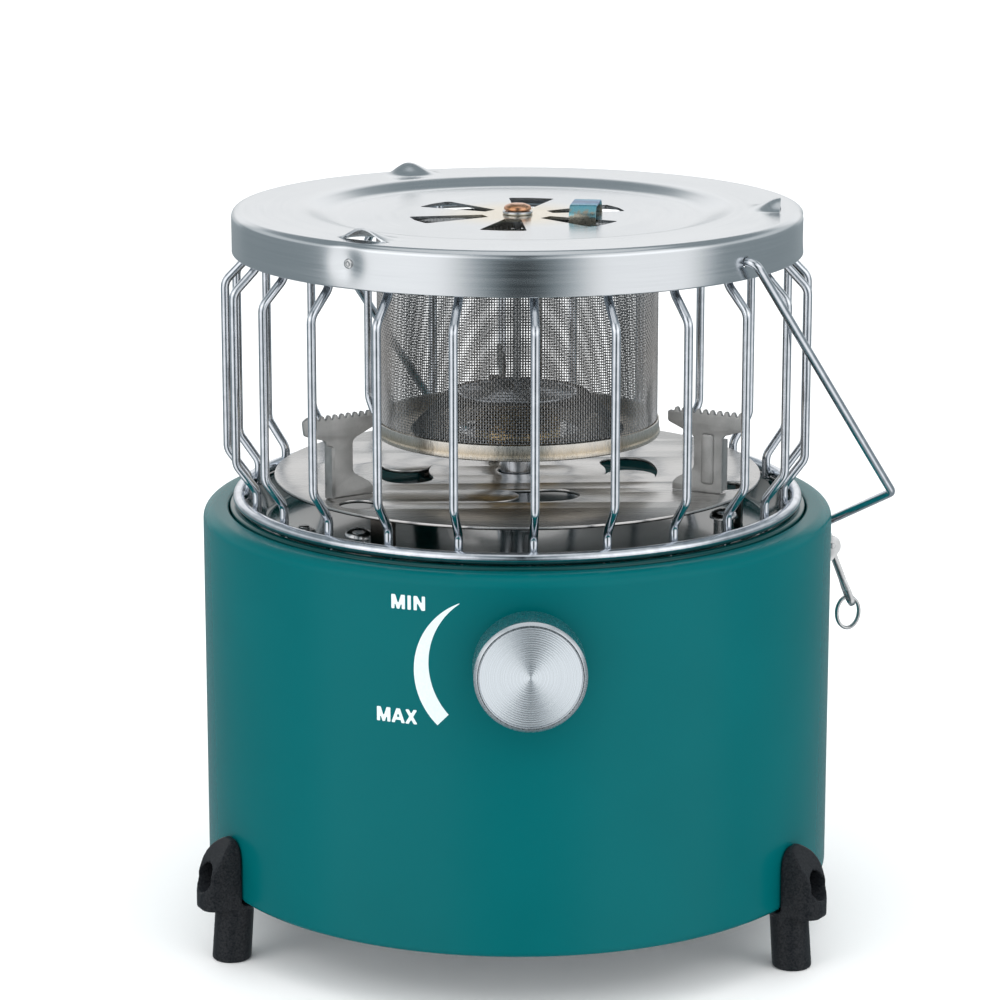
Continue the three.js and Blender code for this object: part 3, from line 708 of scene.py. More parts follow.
# ---------------------------------------------------------------- making pieces
def piece(name, shape, material, body, stands_for=(), crease=32):
    """Makes a piece in the row frame that rides on a body and may stand for CAD nodes."""
    mesh = bpy.data.meshes.new(name)
    mesh.from_pydata([tuple(p) for p in (shape.points + AXIS) * MM], [], shape.faces)
    mesh.validate()
    mesh.polygons.foreach_set("use_smooth", [True] * len(mesh.polygons))
    mesh.set_sharp_from_angle(angle=math.radians(crease))
    mesh.materials.append(material)
    obj = bpy.data.objects.new(name, mesh)
    bpy.context.scene.collection.objects.link(obj)
    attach(obj, body)
    if stands_for:
        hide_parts(*stands_for)
    return obj


def replacement(node, shape, material, body, crease=32):
    """A piece that takes one CAD node's place."""
    return piece(f"{node}_detailed", shape, material, body, [node], crease)


# ---------------------------------------------------------------- sizes from the frame
DRUM_RADIUS = reach("drum_shell")
DRUM_BOTTOM = bottom("drum_shell")
DRUM_TOP = top("drum_shell")
OPENING_RADIUS = round(reach("drum_pan"), 2) + 0.35
PAN_RIM = top("drum_pan")
PAN_FLOOR = PAN_RIM - 7.2
STEM_RADIUS = reach("burner_stem")
DISC_RADIUS = 85.0
DISC_TOP = top("heat_disc")
DISC_SHEET = 1.2
HOLE_RADIUS = 75.0  # of the holes in the disc over the pan's screws
HOLE_TURN = 9.5  # from a pot support, in degrees
NUT_RADIUS = 79.5
NUT_TURN = -12
SCREW_LEVEL = 150.4
RING_RADIUS = mid_radius("guard_bottom_ring")
RING_HEIGHT = mid_height("guard_bottom_ring")
CAP_RADIUS = 98.6
CAP_SHEET = 0.9
CAP_RECESS = 2.8
SKIRT_BOTTOM = bottom("guard_cap")
RECESS_TOP = bottom("rivet_washer") - 0.35
CAP_TOP = RECESS_TOP + CAP_RECESS
CLIP_AZIMUTH = azimuth_of("heat_clip")
EMITTER_RADIUS = reach("emitter_mesh")
EMITTER_BOTTOM = bottom("emitter_mesh")
EMITTER_TOP = top("emitter_mesh")
DISH_BOTTOM = bottom("emitter_dish")
DISH_TOP = top("emitter_dish")
CONE_TOP = top("emitter_cone")
INLET_HEIGHT = mid_height("inlet_fitting")
KNOB_HEIGHT = joint_point("valve_turn")[2]
KNOB_RADIUS = float(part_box("knob")[1].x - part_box("knob")[0].x) / MM / 2
KNOB_FACE = -(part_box("knob")[0].y / MM - AXIS[1])
KNOB_BACK = -(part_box("knob")[1].y / MM - AXIS[1])
FEET = ["foot_left", "foot_right", "foot_rear"]
SUPPORTS = ["pot_support_1", "pot_support_2", "pot_support_3"]
GUARD_WIRES = [name for name in sorted(frame["nodes"]) if name.startswith("guard_wire_")]
SKIRT_SCREWS = ["skirt_screw_1", "skirt_screw_2", "skirt_screw_3"]

# ---------------------------------------------------------------- finishes
TEAL = enamel("teal_enamel", (0.0, 0.108, 0.118), 0.22, 0.0)
PAN_TEAL = enamel("pan_enamel", (0.0, 0.045, 0.046), 0.12, 0.5)
CAP_STEEL = brushed("cap_steel", (0.68, 0.71, 0.74), 0.2, turn=1.6, across=0.9, depth=0.003,
                    dark=0.06, tint=((0.80, 0.70, 0.52), 34))
# The disc's steel carries painted shade: a dark colour below just under its top face, for its
# shadowed underside.
DISC_STEEL = brushed("disc_steel", (0.58, 0.57, 0.56), 0.27, along=(0.02, 6.0, 6.0),
                     depth=0.002, dark=0.08, painted_shade_below=((0.10, 0.09, 0.08), DISC_TOP - 0.7))
DISH_STEEL = heat_tinted("dish_steel", (0.66, 0.64, 0.60), (0.54, 0.46, 0.35),
                         DISH_BOTTOM, DISH_TOP)
MESH_STEEL = heat_tinted("mesh_steel", (0.42, 0.43, 0.44), (0.33, 0.32, 0.31),
                         EMITTER_BOTTOM, EMITTER_TOP)
DARK_MESH = heat_tinted("dark_mesh", (0.16, 0.155, 0.15), (0.11, 0.10, 0.09),
                        DISH_BOTTOM, CONE_TOP)
BLASTED_STEEL = blasted("blasted_steel", (0.52, 0.52, 0.51))
BRIGHT_WIRE = plated("bright_wire", (0.72, 0.76, 0.82), 0.14)
PLATED_STEEL = plated("plated_steel", (0.62, 0.63, 0.64), 0.2)
BRASS = brushed("machined_brass", (0.66, 0.47, 0.2), 0.28, turn=3, across=3)
COPPER = plated("copper", (0.70, 0.34, 0.17), 0.22)
FOOT_PLASTIC = clouded("foot_plastic", 0.0, (0.004, 0.006, 0.009), (0.25, BLACK), (0.02, WHITE),
                       (1.4, 4, 0.6), (0.32, 0.44), 0.01, Specular_IOR_Level=0.12)
KNOB_METAL = turned_face("knob_aluminium", (0.66, 0.72, 0.77), KNOB_HEIGHT)
KNOB_RIM = brushed("knob_rim", (0.66, 0.70, 0.74), 0.26, along=(1, 3, 1), depth=0.001, dark=0.04)
BLUED_STEEL = blued("blued_steel")
BLACK_STEEL = plated("black_steel", (0.035, 0.037, 0.04), 0.4)
CERAMIC = clouded("ceramic", 0.0, (0.8, 0.77, 0.7), (0.12, (0.4, 0.3, 0.2)), (0.0, WHITE),
                  (0.6,), (0.2, 0.32), 0.01, Coat_Weight=0.6)
INK = clouded("dial_ink", 0.0, (0.72, 0.84, 0.86), (0.1, (0, 0.1, 0.1)), (0.0, WHITE),
              (1.2,), (0.35, 0.5))


# ---------------------------------------------------------------- drum
def drum():
    flange = 102
    sheet = 1.2
    inner = DRUM_RADIUS - sheet
    profile = rounded([
        (flange, DRUM_BOTTOM, 0.3),
        (DRUM_RADIUS, DRUM_BOTTOM, 2.4),
        (DRUM_RADIUS, DRUM_TOP, 4.2),
        (OPENING_RADIUS, DRUM_TOP, 1.3),
        (OPENING_RADIUS, DRUM_TOP - 4.5, 0.4),
        (OPENING_RADIUS + sheet, DRUM_TOP - 4.5, 0.4),
        (OPENING_RADIUS + sheet, DRUM_TOP - sheet, 0.4),
        (inner, DRUM_TOP - sheet, 3),
        (inner, DRUM_BOTTOM + sheet, 1.2),
        (flange, DRUM_BOTTOM + sheet, 0.3),
    ], 8)
    spindle_hole = rod(4.7, 100, 120).rotated(90, "X").shifted(0, 0, KNOB_HEIGHT)
    inlet_hole = rod(6.6, 100, 120).rotated(-90, "X").shifted(0, 0, INLET_HEIGHT)
    shell = cut(lathe(profile, 256), spindle_hole, inlet_hole)
    replacement("drum_shell", shell, TEAL, "base")


def pan():
    edge = OPENING_RADIUS - 0.35
    hole = STEM_RADIUS + 1.6
    profile = rounded([
        (hole, PAN_FLOOR, 0.3),
        (88, PAN_FLOOR, 3),
        (94.8, PAN_RIM, 2.4),
        (edge, PAN_RIM, 1.0),
        (edge, DRUM_TOP - 4.5, 0.3),
        (edge - 1, DRUM_TOP - 4.5, 0.3),
        (edge - 1, PAN_RIM - 1, 0.4),
        (95.2, PAN_RIM - 1, 1.8),
        (88.4, PAN_FLOOR - 1, 2.4),
        (hole, PAN_FLOOR - 1, 0.3),
    ], 6)
    replacement("drum_pan", lathe(profile, 256), PAN_TEAL, "base")


def pan_screws():
    """A screw on a spacer under each hole in the disc, with a nut under the disc's edge."""
    gap = 0.05
    spacer_height = SCREW_LEVEL - PAN_FLOOR - gap
    screw = cross_screw(4.9, 2.8).shifted(0, 0, spacer_height) + rod(3.4, 0, spacer_height - 0.02)
    nut = hex_nut(7, 3.2, 2.0) + rod(1.9, 0, 4.4, bevel=0.3)
    shapes = []
    for support in SUPPORTS:
        azimuth = azimuth_of(support)
        for fastener, radius, turn in ((screw, HOLE_RADIUS, HOLE_TURN),
                                       (nut, NUT_RADIUS, NUT_TURN)):
            place = polar(radius, azimuth + turn, PAN_FLOOR + gap)
            shapes.append(fastener.rotated(azimuth, "Z").shifted(*place))
    piece("pan_fasteners", together(shapes), PLATED_STEEL, "base")


def base_plate():
    radius = reach("base_plate")
    low, high = bottom("base_plate"), top("base_plate")
    vent_circle, rib_circles, screw_circle = 62, (40, 84), 96
    vents = [ring_of(polar(vent_circle, 22.5 + 45 * i, 0)[:2], 6, 32) for i in range(8)]
    ribs = [
        turned([(size - 1.6, low - 0.1), (size, low - 0.6, 0.5), (size + 1.6, low - 0.1),
                (size, low + 0.2)], 3, 160)
        for size in rib_circles
    ]
    outline = ring_of((0, 0), radius, 200)
    sheet = plate(outline, low, high, [ring_of((0, 0), 12, 48), *vents], 0.25)
    replacement("base_plate", together([sheet, *ribs]), PLATED_STEEL, "base")
    screw = cross_screw(3.6, 1.6).rotated(180, "X")
    screws = [screw.shifted(*polar(screw_circle, 20 + 60 * i, low)) for i in range(6)]
    piece("base_screws", together(screws), PLATED_STEEL, "base")


# ---------------------------------------------------------------- feet
def feet():
    """Each foot is a moulded bracket round the drum's lower edge, on a leaning leg."""
    hood_floor = DRUM_BOTTOM - 0.35
    hood_top = 43.8
    foot_reach = 123.75
    half = 6.9
    side = blade([
        (104, hood_floor - 1.4), (foot_reach - 0.8, hood_floor - 1.4),
        (foot_reach, hood_floor + 0.4), (foot_reach - 0.3, 25), (foot_reach - 1.8, 30.5),
        (foot_reach - 4.6, 36), (foot_reach - 8.0, 40.5), (foot_reach - 11.2, 43.2),
        (104, hood_top),
    ], 2 * half)
    round_end = foot_reach - half
    plan = joined(
        rod(half, 10, 50, 48).shifted(round_end, 0, 0),
        block((100, -half, 10), (round_end, half, 50)),
    )
    arch = plate([(-half, 5), (half, 5), *ring_of((0, hood_top - half), half, 24, 0, 180)],
                 100, 130)
    arch = arch.mapped(lambda p: p[:, [2, 0, 1]])
    hood = common(common(side, plan), arch)
    hood = cut(hood, rod(DRUM_RADIUS + 0.4, hood_floor, 60, 256))
    leg = lathe([(0, 0), (6.3, 0), (6.8, 0.5), (6.7, hood_floor), (0, hood_floor)], 40)
    leg_middle, lean = 110, 1.6
    leg = leg.mapped(
        lambda p: p + np.array([1, 0, 0]) * (leg_middle + lean * (1 - p[:, 2:] / hood_floor)))
    screw_height, screw_seat, well_floor = 30.6, 112.0, 112.2
    well = rod(5.0, well_floor, 130, 48).rotated(90, "Y").shifted(0, 0, screw_height)
    body = moulded(cut(joined(hood, leg), well), voxel=0.4, smoothing=9)
    screw = cross_screw(3.9, 2.2).rotated(90, "Y").shifted(screw_seat, 0, screw_height)
    for foot in FEET:
        azimuth = azimuth_of(foot)
        replacement(foot, body.to_azimuth(azimuth), FOOT_PLASTIC, "base", 60)
        piece(f"{foot}_screw", screw.to_azimuth(azimuth), BLACK_STEEL, "base")


# ---------------------------------------------------------------- stove
def arc_slot(radius, half_width, half_span, azimuth):
    """The outline of a slot that follows a circle, with round ends."""
    def on_circle(size, angle):
        return tuple(polar(size, azimuth + angle, 0)[:2])
    steps = 16
    outline = [on_circle(radius + half_width, -half_span + 2 * half_span * i / steps)
               for i in range(steps + 1)]
    for end, sign in ((half_span, 1), (-half_span, -1)):
        centre = polar(radius, azimuth + end, 0)
        for i in range(1, 8):
            turn = azimuth + end + sign * 180 * i / 8 - (0 if sign > 0 else 180)
            outline.append(tuple((centre + polar(half_width, turn, 0))[:2]))
        if sign > 0:
            outline += [on_circle(radius - half_width, half_span - 2 * half_span * i / steps)
                        for i in range(steps + 1)]
    return outline


def heat_disc():
    under = DISC_TOP - DISC_SHEET
    slots = [arc_slot(40, 9, 15, azimuth) for azimuth in (1, 91, 181, 271)]
    azimuths = [azimuth_of(support) for support in SUPPORTS]
    holes = [ring_of(polar(HOLE_RADIUS, azimuth + HOLE_TURN, 0)[:2], 6.5, 40)
             for azimuth in azimuths]
    disc = plate(ring_of((0, 0), DISC_RADIUS, 256), under, DISC_TOP,
                 [ring_of((0, 0), STEM_RADIUS + 0.4, 48), *slots, *holes], 0.22)
    leg_low = PAN_FLOOR + 0.1
    leg = block((77, -4.5, leg_low), (79, 4.5, under + 0.3), 0.3)
    toe = block((72, -4.5, leg_low), (79, 4.5, leg_low + 1.6), 0.3)
    legs = [(leg + toe).to_azimuth(azimuth + 20) for azimuth in azimuths]
    replacement("heat_disc", together([disc, *legs]), DISC_STEEL, "base")


def pot_support():
    """One toothed T-shaped plate with a pressed rib and a folded edge, built along +X."""
    base = DISC_TOP + 0.15
    high = top(SUPPORTS[0])
    inner, outer = 58.5, 88.0
    stem_inner, stem_outer = 68.5, 79.0
    teeth = 10
    pitch = (outer - inner - 3) / teeth
    corners = [
        (inner + 2, base), (stem_outer, base, 0.6), (stem_outer, base + 20, 2),
        (outer - 0.6, base + 22.6, 1.2), (outer, high - 1.2, 1.2),
    ]
    for i in range(teeth):
        place = outer - 1.5 - i * pitch
        corners += [(place - pitch * 0.12, high, 0.6), (place - pitch * 0.5, high, 0.6),
                    (place - pitch * 0.72, high - 1.5, 0.5), (place - pitch * 0.9, high - 1.5, 0.5)]
    corners += [
        (inner, high - 1.2, 1.0), (inner, base + 23.6, 1.2), (stem_inner, base + 19.5, 2.5),
        (stem_inner, base + 8, 2.5), (inner + 3.4, base + 4, 1.2), (inner + 2, base + 2.4, 0.8),
    ]
    sheet = blade(rounded(corners, 3), 1.5, 0.25)
    rib_outline = rounded([
        (stem_inner + 3.0, base + 3, 1), (stem_outer - 3.0, base + 3, 1),
        (stem_outer - 3.0, base + 20.5, 1), (stem_inner + 3.0, base + 20.5, 1),
    ], 3)
    rib = blade(rib_outline, 1.2, 0.5).shifted(0, -0.95, 0)
    fold = block((stem_outer - 1.3, 0.3, base + 0.6), (stem_outer, 4.0, base + 18.5), 0.35)
    return together([sheet, rib, fold])


def pot_supports():
    support = pot_support()
    for node in SUPPORTS:
        replacement(node, support.to_azimuth(azimuth_of(node)), BLASTED_STEEL, "base")


def burner():
    stem_low, stem_high = bottom("burner_stem"), top("burner_stem")
    stem = turned([
        (4, stem_low), (5.4, stem_low, 0.4), (5.4, PAN_FLOOR - 3, 1),
        (STEM_RADIUS, PAN_FLOOR - 1, 1), (STEM_RADIUS, PAN_FLOOR + 2, 0.3),
        (STEM_RADIUS - 0.7, PAN_FLOOR + 2.6, 0.3),
        (STEM_RADIUS - 0.7, stem_high - 3, 0.3), (STEM_RADIUS, stem_high - 2.4, 0.3),
        (STEM_RADIUS, stem_high, 0.4), (4, stem_high),
    ], 3, 64)
    replacement("burner_stem", stem, BRIGHT_WIRE, "base")
    low, high = bottom("burner_head"), top("burner_head")
    size = reach("burner_head")
    head = turned([
        (0, high - 2.6), (size - 4.4, high - 2.6, 0.5), (size - 2.4, high - 5, 0.5),
        (size - 2.4, low + 2.6, 0.5), (4, low + 2.6), (4, low), (size - 1.5, low, 0.4),
        (size, low + 1.5, 0.4), (size, high - 4, 0.8), (size - 3, high, 0.8), (0, high),
    ], 4, 96)
    ports = [
        rod(0.75, size - 4, size + 2, 12).rotated(90, "Y")
        .shifted(0, 0, mid_height("burner_head") + 1)
        .to_azimuth(15 * i) for i in range(24)
    ]
    replacement("burner_head", cut(head, *ports), BRASS, "base")
    electrode_low, electrode_high = bottom("spark_electrode"), top("spark_electrode")
    shoulder, insulator_top = 172.4, 174
    insulator = turned([
        (0, electrode_low), (2.1, electrode_low, 0.3), (2.1, electrode_low + 3, 0.3),
        (1.7, electrode_low + 3.6, 0.3), (2.1, electrode_low + 4.2, 0.3),
        (2.1, shoulder, 0.6), (0.9, insulator_top, 0.4), (0, insulator_top),
    ], 3, 32)
    x, y, _ = middle("spark_electrode")
    replacement("spark_electrode", insulator.shifted(x, y, 0), CERAMIC, "base")
    tip = tube(bent([
        (x, y, insulator_top - 1), (x, y, electrode_high - 1),
        (x * 0.93, y * 0.93, electrode_high - 0.6),
    ], 0.6, 4), 0.55, 10)
    piece("electrode_tip", tip, PLATED_STEEL, "base")


# ---------------------------------------------------------------- gas line
def gas_line():
    """The threaded inlet, and the metals of the pipes and the valve that the CAD draws."""
    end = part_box("inlet_fitting")[1].y / MM - AXIS[1]
    collar = turned([(3, 100), (9, 100, 0.4), (9, 106, 0.4), (6, 106), (6, 113), (3, 113)], 2, 48)
    nut = hex_nut(13, 5, 3).shifted(0, 0, 113)
    thread = [(3, 118), (5.1, 118)]
    turns = 8
    pitch = (end - 119.2) / turns
    for i in range(turns):
        start = 118.4 + i * pitch
        thread += [(4.8, start), (5.4, start + pitch * 0.5)]
    thread += [(4.8, end - 0.5), (4.4, end), (3, end)]
    nipple = lathe(thread, 48)
    fitting = together([collar, nut, nipple]).rotated(-90, "X").shifted(0, 0, INLET_HEIGHT)
    replacement("inlet_fitting", fitting, BRASS, "base")
    for node, metal in (("valve_body", BRASS), ("valve_spindle", BRASS),
                        ("supply_pipe", COPPER), ("burner_pipe", COPPER)):
        materials = frame["nodes"][node].data.materials
        materials.clear()
        materials.append(metal)


def knob():
    """The turned knob, in its own pieces: the ringed face and the polished rim."""
    radius = KNOB_RADIUS
    rim = rounded([
        (0, KNOB_FACE - 3), (3.35, KNOB_FACE - 3), (3.35, KNOB_BACK),
        (radius - 0.6, KNOB_BACK, 0.4), (radius, KNOB_BACK + 0.8, 0.4),
        (radius, KNOB_FACE - 1.0, 0.25),
        (radius - 1.0, KNOB_FACE, 0.25), (radius - 1.6, KNOB_FACE, 0.2),
        (radius - 1.9, KNOB_FACE - 0.5), (0, KNOB_FACE - 0.5),
    ], 4)
    count = 44
    groove_depth = 0.13
    rings = [((radius - 1.8) * i / count, KNOB_FACE - 0.38 + (groove_depth if i % 2 else 0))
             for i in range(count + 1)]
    profile = [(0, KNOB_FACE - 0.7), (radius - 1.8, KNOB_FACE - 0.7), *reversed(rings)]

    def turned_to_front(outline, segments):
        return lathe(outline, segments).rotated(90, "X").shifted(0, 0, KNOB_HEIGHT)
    replacement("knob", turned_to_front(rim, 128), KNOB_RIM, "knob", 25)
    piece("knob_face", turned_to_front(profile, 128), KNOB_METAL, "knob",
          crease=5)
    # The bezel is black plastic and partly painted shade: its dark ring round the knob's back
    # stands in for the knob's shadow on the drum.
    bezel = turned_to_front(rounded([
        (4.4, 108.4), (4.4, DRUM_RADIUS + 0.2), (9, DRUM_RADIUS + 0.5, 0.2),
        (9, DRUM_RADIUS + 1.0, 0.3), (3.35, DRUM_RADIUS + 1.0), (3.35, 108.4),
    ], 3), 64)
    replacement("knob_bezel", bezel, FOOT_PLASTIC, "base")


# ---------------------------------------------------------------- dial print
INK_LIFT = 0.04
INK_THICKNESS = 0.06


def wrapped(shape, azimuth, height):
    """Bends a flat shape in X and Z, with its thickness along -Y, round the drum."""
    def wrap(points):
        angle = math.radians(azimuth) + points[:, 0] / DRUM_RADIUS
        size = DRUM_RADIUS + INK_LIFT + points[:, 1]
        return np.stack([size * np.sin(angle), -size * np.cos(angle), height + points[:, 2]], 1)
    return shape.mapped(wrap)


LETTERS = {
    "M": (1.0, [[(0, 0), (0.23, 0), (0.23, 0.56), (0.41, 0), (0.59, 0), (0.77, 0.56), (0.77, 0),
                 (1, 0), (1, 1), (0.72, 1), (0.5, 0.34), (0.28, 1), (0, 1)]]),
    "I": (0.24, [[(0, 0), (0.24, 0), (0.24, 1), (0, 1)]]),
    "N": (0.82, [[(0, 0), (0.23, 0), (0.23, 0.6), (0.57, 0), (0.82, 0), (0.82, 1), (0.59, 1),
                  (0.59, 0.4), (0.25, 1), (0, 1)]]),
    "A": (0.98, [[(0, 0), (0.24, 0), (0.31, 0.2), (0.67, 0.2), (0.74, 0), (0.98, 0), (0.62, 1),
                  (0.36, 1)], [(0.38, 0.39), (0.6, 0.39), (0.49, 0.72)]]),
    "X": (0.9, [[(0, 0), (0.27, 0), (0.45, 0.31), (0.63, 0), (0.9, 0), (0.59, 0.5), (0.88, 1),
                 (0.62, 1), (0.45, 0.7), (0.28, 1), (0.02, 1), (0.31, 0.5)]]),
}


def word(text, height, gaps):
    """A generic dial word in bold block letters, centred, in the X-Z plane."""
    widths = [LETTERS[letter][0] for letter in text]
    place = -(sum(widths) + sum(gaps)) / 2
    shapes = []
    for letter, width, gap in zip(text, widths, [*gaps, 0]):
        outer, *holes = [
            rounded([((u + place) * height, (v - 0.5) * height, 0.05 * height) for u, v in loop], 2)
            for loop in LETTERS[letter][1]
        ]
        shapes.append(blade(outer, INK_THICKNESS, holes=holes))
        place += width + gap
    return together(shapes)


def crescent():
    """The band between two equal circles, cut square at its wide end."""
    outer = ring_of((-12.78, 118.84), 25.07, 40, 113, 114)
    inner = ring_of((-7.84, 121.39), 25.04, 40, 223, -97.4)
    return blade(rounded([(*outer[0], 0.5), *outer[1:], *inner[:-1], (*inner[-1], 0.5)], 3),
                 INK_THICKNESS)


def dial():
    """MIN and MAX beside a crescent that widens as the gas is turned up."""
    print_shape = together([
        wrapped(crescent(), 0, 0),
        wrapped(word("MIN", 4.75, (0.19, 0.2)), -20.7, 141.1),
        wrapped(word("MAX", 4.85, (0.08, 0.0)), -22.85, 102.6),
    ])
    piece("dial_print", print_shape, INK, "base")


# ---------------------------------------------------------------- side catch
def side_catch():
    pivot = joint_point("catch_swing")
    hole = joint_point("ring_swing")
    azimuth = azimuth_to(*pivot[:2])
    pivot_radius, hole_radius = np.hypot(*pivot[:2]), np.hypot(*hole[:2])
    tilt = math.degrees(math.atan2(hole_radius - pivot_radius, pivot[2] - hole[2]))
    length = math.hypot(hole_radius - pivot_radius, pivot[2] - hole[2]) + 3.6
    height = pivot[2]
    ear_outline = rounded([
        (DRUM_RADIUS + 0.6, height - 5.5, 0.5), (DRUM_RADIUS + 4, height - 5.5, 1),
        (DRUM_RADIUS + 7.5, height - 1, 3.5), (DRUM_RADIUS + 6, height + 3.5, 3),
        (DRUM_RADIUS + 0.6, height + 3.5, 0.5),
    ], 4)
    ears = [blade(ear_outline, 1.2, 0.2).shifted(0, side * 4.4, 0) for side in (-1, 1)]
    back = block((DRUM_RADIUS + 0.45, -5, height - 9), (DRUM_RADIUS + 1.45, 5, height + 7), 0.25)
    pin = rod(1.0, -5.6, 5.6, 24, 0.3).rotated(90, "X").shifted(pivot_radius, 0, height)
    rivets = [
        rod(1.5, 0, 0.9, 24, 0.4).rotated(90, "Y").shifted(DRUM_RADIUS + 1.4, 0, height + level)
        for level in (-7.2, 5.2)
    ]
    bracket = together([*ears, back, pin, *rivets]).to_azimuth(azimuth)
    replacement("catch_bracket", bracket, PLATED_STEEL, "base")
    outline = rounded([
        (-1.8, -1, 0.3), (1.8, -1, 0.3), (2.2, -15, 8), (3.5, -18.5, 3), (3.5, -length, 3.4),
        (-3.5, -length, 3.4), (-3.5, -18.5, 3), (-2.2, -15, 8),
    ], 5)
    eyelet = ring_of((0, -length + 3.6), 2.4, 28)
    tongue = blade(outline, 2.0, 0.45, [eyelet]).rotated(90, "Z")
    barrel = rod(2.3, -3.2, 3.2, 32, 0.3).rotated(90, "X")
    bore_hole = rod(1.3, -6, 6, 24).rotated(90, "X")
    lever = cut(joined(tongue, barrel), bore_hole).rotated(-tilt, "Y")
    lever = lever.shifted(pivot_radius, 0, height).to_azimuth(azimuth)
    replacement("catch_lever", lever, PLATED_STEEL, "catch")
    half_height, half_width, wire, turns, steps = 5.8, 4.06, 0.6, 2, 60
    coil = []
    for i in range(turns * steps + 1):
        angle = 2 * math.pi * i / steps
        side = (i / steps - 1) * wire * 1.05
        coil.append((half_width * math.sin(angle), side, half_height * math.cos(angle)))
    ring = tube(coil, wire, 12).shifted(0, 0, -half_height).rotated(3, "Y")
    ring = ring.shifted(hole_radius, 0, hole[2]).to_azimuth(azimuth)
    replacement("pull_ring", ring, PLATED_STEEL, "ring")


# ---------------------------------------------------------------- guard: cap
LIP_RADIUS = 90.5
LOUVRE_DEPTH = 12.0
LOUVRE_HALF_LENGTH = 10.8
LOUVRE_HEIGHT = top("guard_cap") - CAP_TOP
LOUVRE_SHEET = 0.55
SCREW_HEIGHT = mid_height("skirt_screw_1")
DIMPLE_DEPTH = 1.1
DIMPLE_RADIUS = 7.5


def finer(outline, step, beyond):
    """A closed outline with more points along its edges, outside a radius."""
    points = []
    for start, end in zip(outline, [*outline[1:], outline[0]]):
        points.append(start)
        count = math.ceil(math.dist(start, end) / step)
        if min(start[0], end[0]) >= beyond:
            points += [
                tuple(np.array(start) + (np.array(end) - np.array(start)) * k / count)
                for k in range(1, count)
            ]
    return points


def cap_profile():
    inner = CAP_RADIUS - CAP_SHEET
    under = RECESS_TOP - CAP_SHEET
    lip = 0.1
    outline = rounded([
        (2.6, RECESS_TOP),
        (2.6, under),
        (65.4, under, 14),
        (73.2, CAP_TOP - CAP_SHEET, 14),
        (LIP_RADIUS - lip, CAP_TOP - CAP_SHEET),
        (LIP_RADIUS + lip, CAP_TOP - CAP_SHEET),
        (inner, CAP_TOP - CAP_SHEET, 1.8),
        (inner, SKIRT_BOTTOM + 1.8, 0.5),
        (inner - 0.7, SKIRT_BOTTOM + 1.4, 0.4),
        (inner - 0.7, SKIRT_BOTTOM, 0.5),
        (CAP_RADIUS, SKIRT_BOTTOM, 0.6),
        (CAP_RADIUS, CAP_TOP, 2.6),
        (LIP_RADIUS + lip, CAP_TOP),
        (LIP_RADIUS - lip, CAP_TOP),
        (73, CAP_TOP, 14),
        (65, RECESS_TOP, 14),
    ], 8)
    return finer(outline, 1.3, 75)


def with_dimples(points, places):
    """Presses round dimples into the skirt at azimuths, at the screws' height."""
    pressed = points.copy()
    for azimuth in places:
        centre = polar(CAP_RADIUS, azimuth, SCREW_HEIGHT)
        distance = np.linalg.norm(points - centre, axis=1)
        inward = -polar(1, azimuth, 0)
        amount = DIMPLE_DEPTH * np.exp(-(distance / DIMPLE_RADIUS) ** 2 * 2)
        pressed += amount[:, None] * inward
    return pressed


def louvre_rise(along):
    """A louvre's bell-shaped height at a distance along its lip."""
    bell = np.cos(np.clip(along / LOUVRE_HALF_LENGTH, -1, 1) * math.pi / 2) ** 2
    return LOUVRE_HEIGHT * bell


def with_louvres(points, places):
    """Lifts the cap into a bell at each azimuth, which stops dead at its outer lip."""
    lifted = points.copy()
    radius = np.hypot(points[:, 0], points[:, 1])
    depth = np.clip((LIP_RADIUS - radius) / LOUVRE_DEPTH, 0, 1)
    slope = np.where(radius < LIP_RADIUS, np.cos(depth * math.pi / 2) ** 2, 0)
    flat = points[:, 2] > CAP_TOP - CAP_SHEET - 0.01
    under = np.where(points[:, 2] < CAP_TOP - 0.5 * CAP_SHEET, CAP_SHEET - LOUVRE_SHEET, 0)
    for azimuth in places:
        turn = math.radians(azimuth)
        along = points[:, 0] * math.cos(turn) + points[:, 1] * math.sin(turn)
        near = points[:, 0] * math.sin(turn) - points[:, 1] * math.cos(turn) > 0
        rise = louvre_rise(along) * slope * flat * near
        lifted[:, 2] += rise * (1 + under / LOUVRE_HEIGHT)
    return lifted


def louvre_opening():
    """The eye-shaped gap under a louvre's lip, built along +X."""
    steps = np.linspace(-LOUVRE_HALF_LENGTH, LOUVRE_HALF_LENGTH, 41)
    top_edge = [(t, CAP_TOP + louvre_rise(t) - LOUVRE_SHEET) for t in steps]
    top_edge = [(t, height) for t, height in top_edge if height > CAP_TOP + 0.06]
    outline = [(top_edge[0][0], CAP_TOP + 0.03), (top_edge[-1][0], CAP_TOP + 0.03),
               *reversed(top_edge)]
    return blade(outline, 2.0).rotated(90, "Z").shifted(LIP_RADIUS - 0.2, 0, 0)


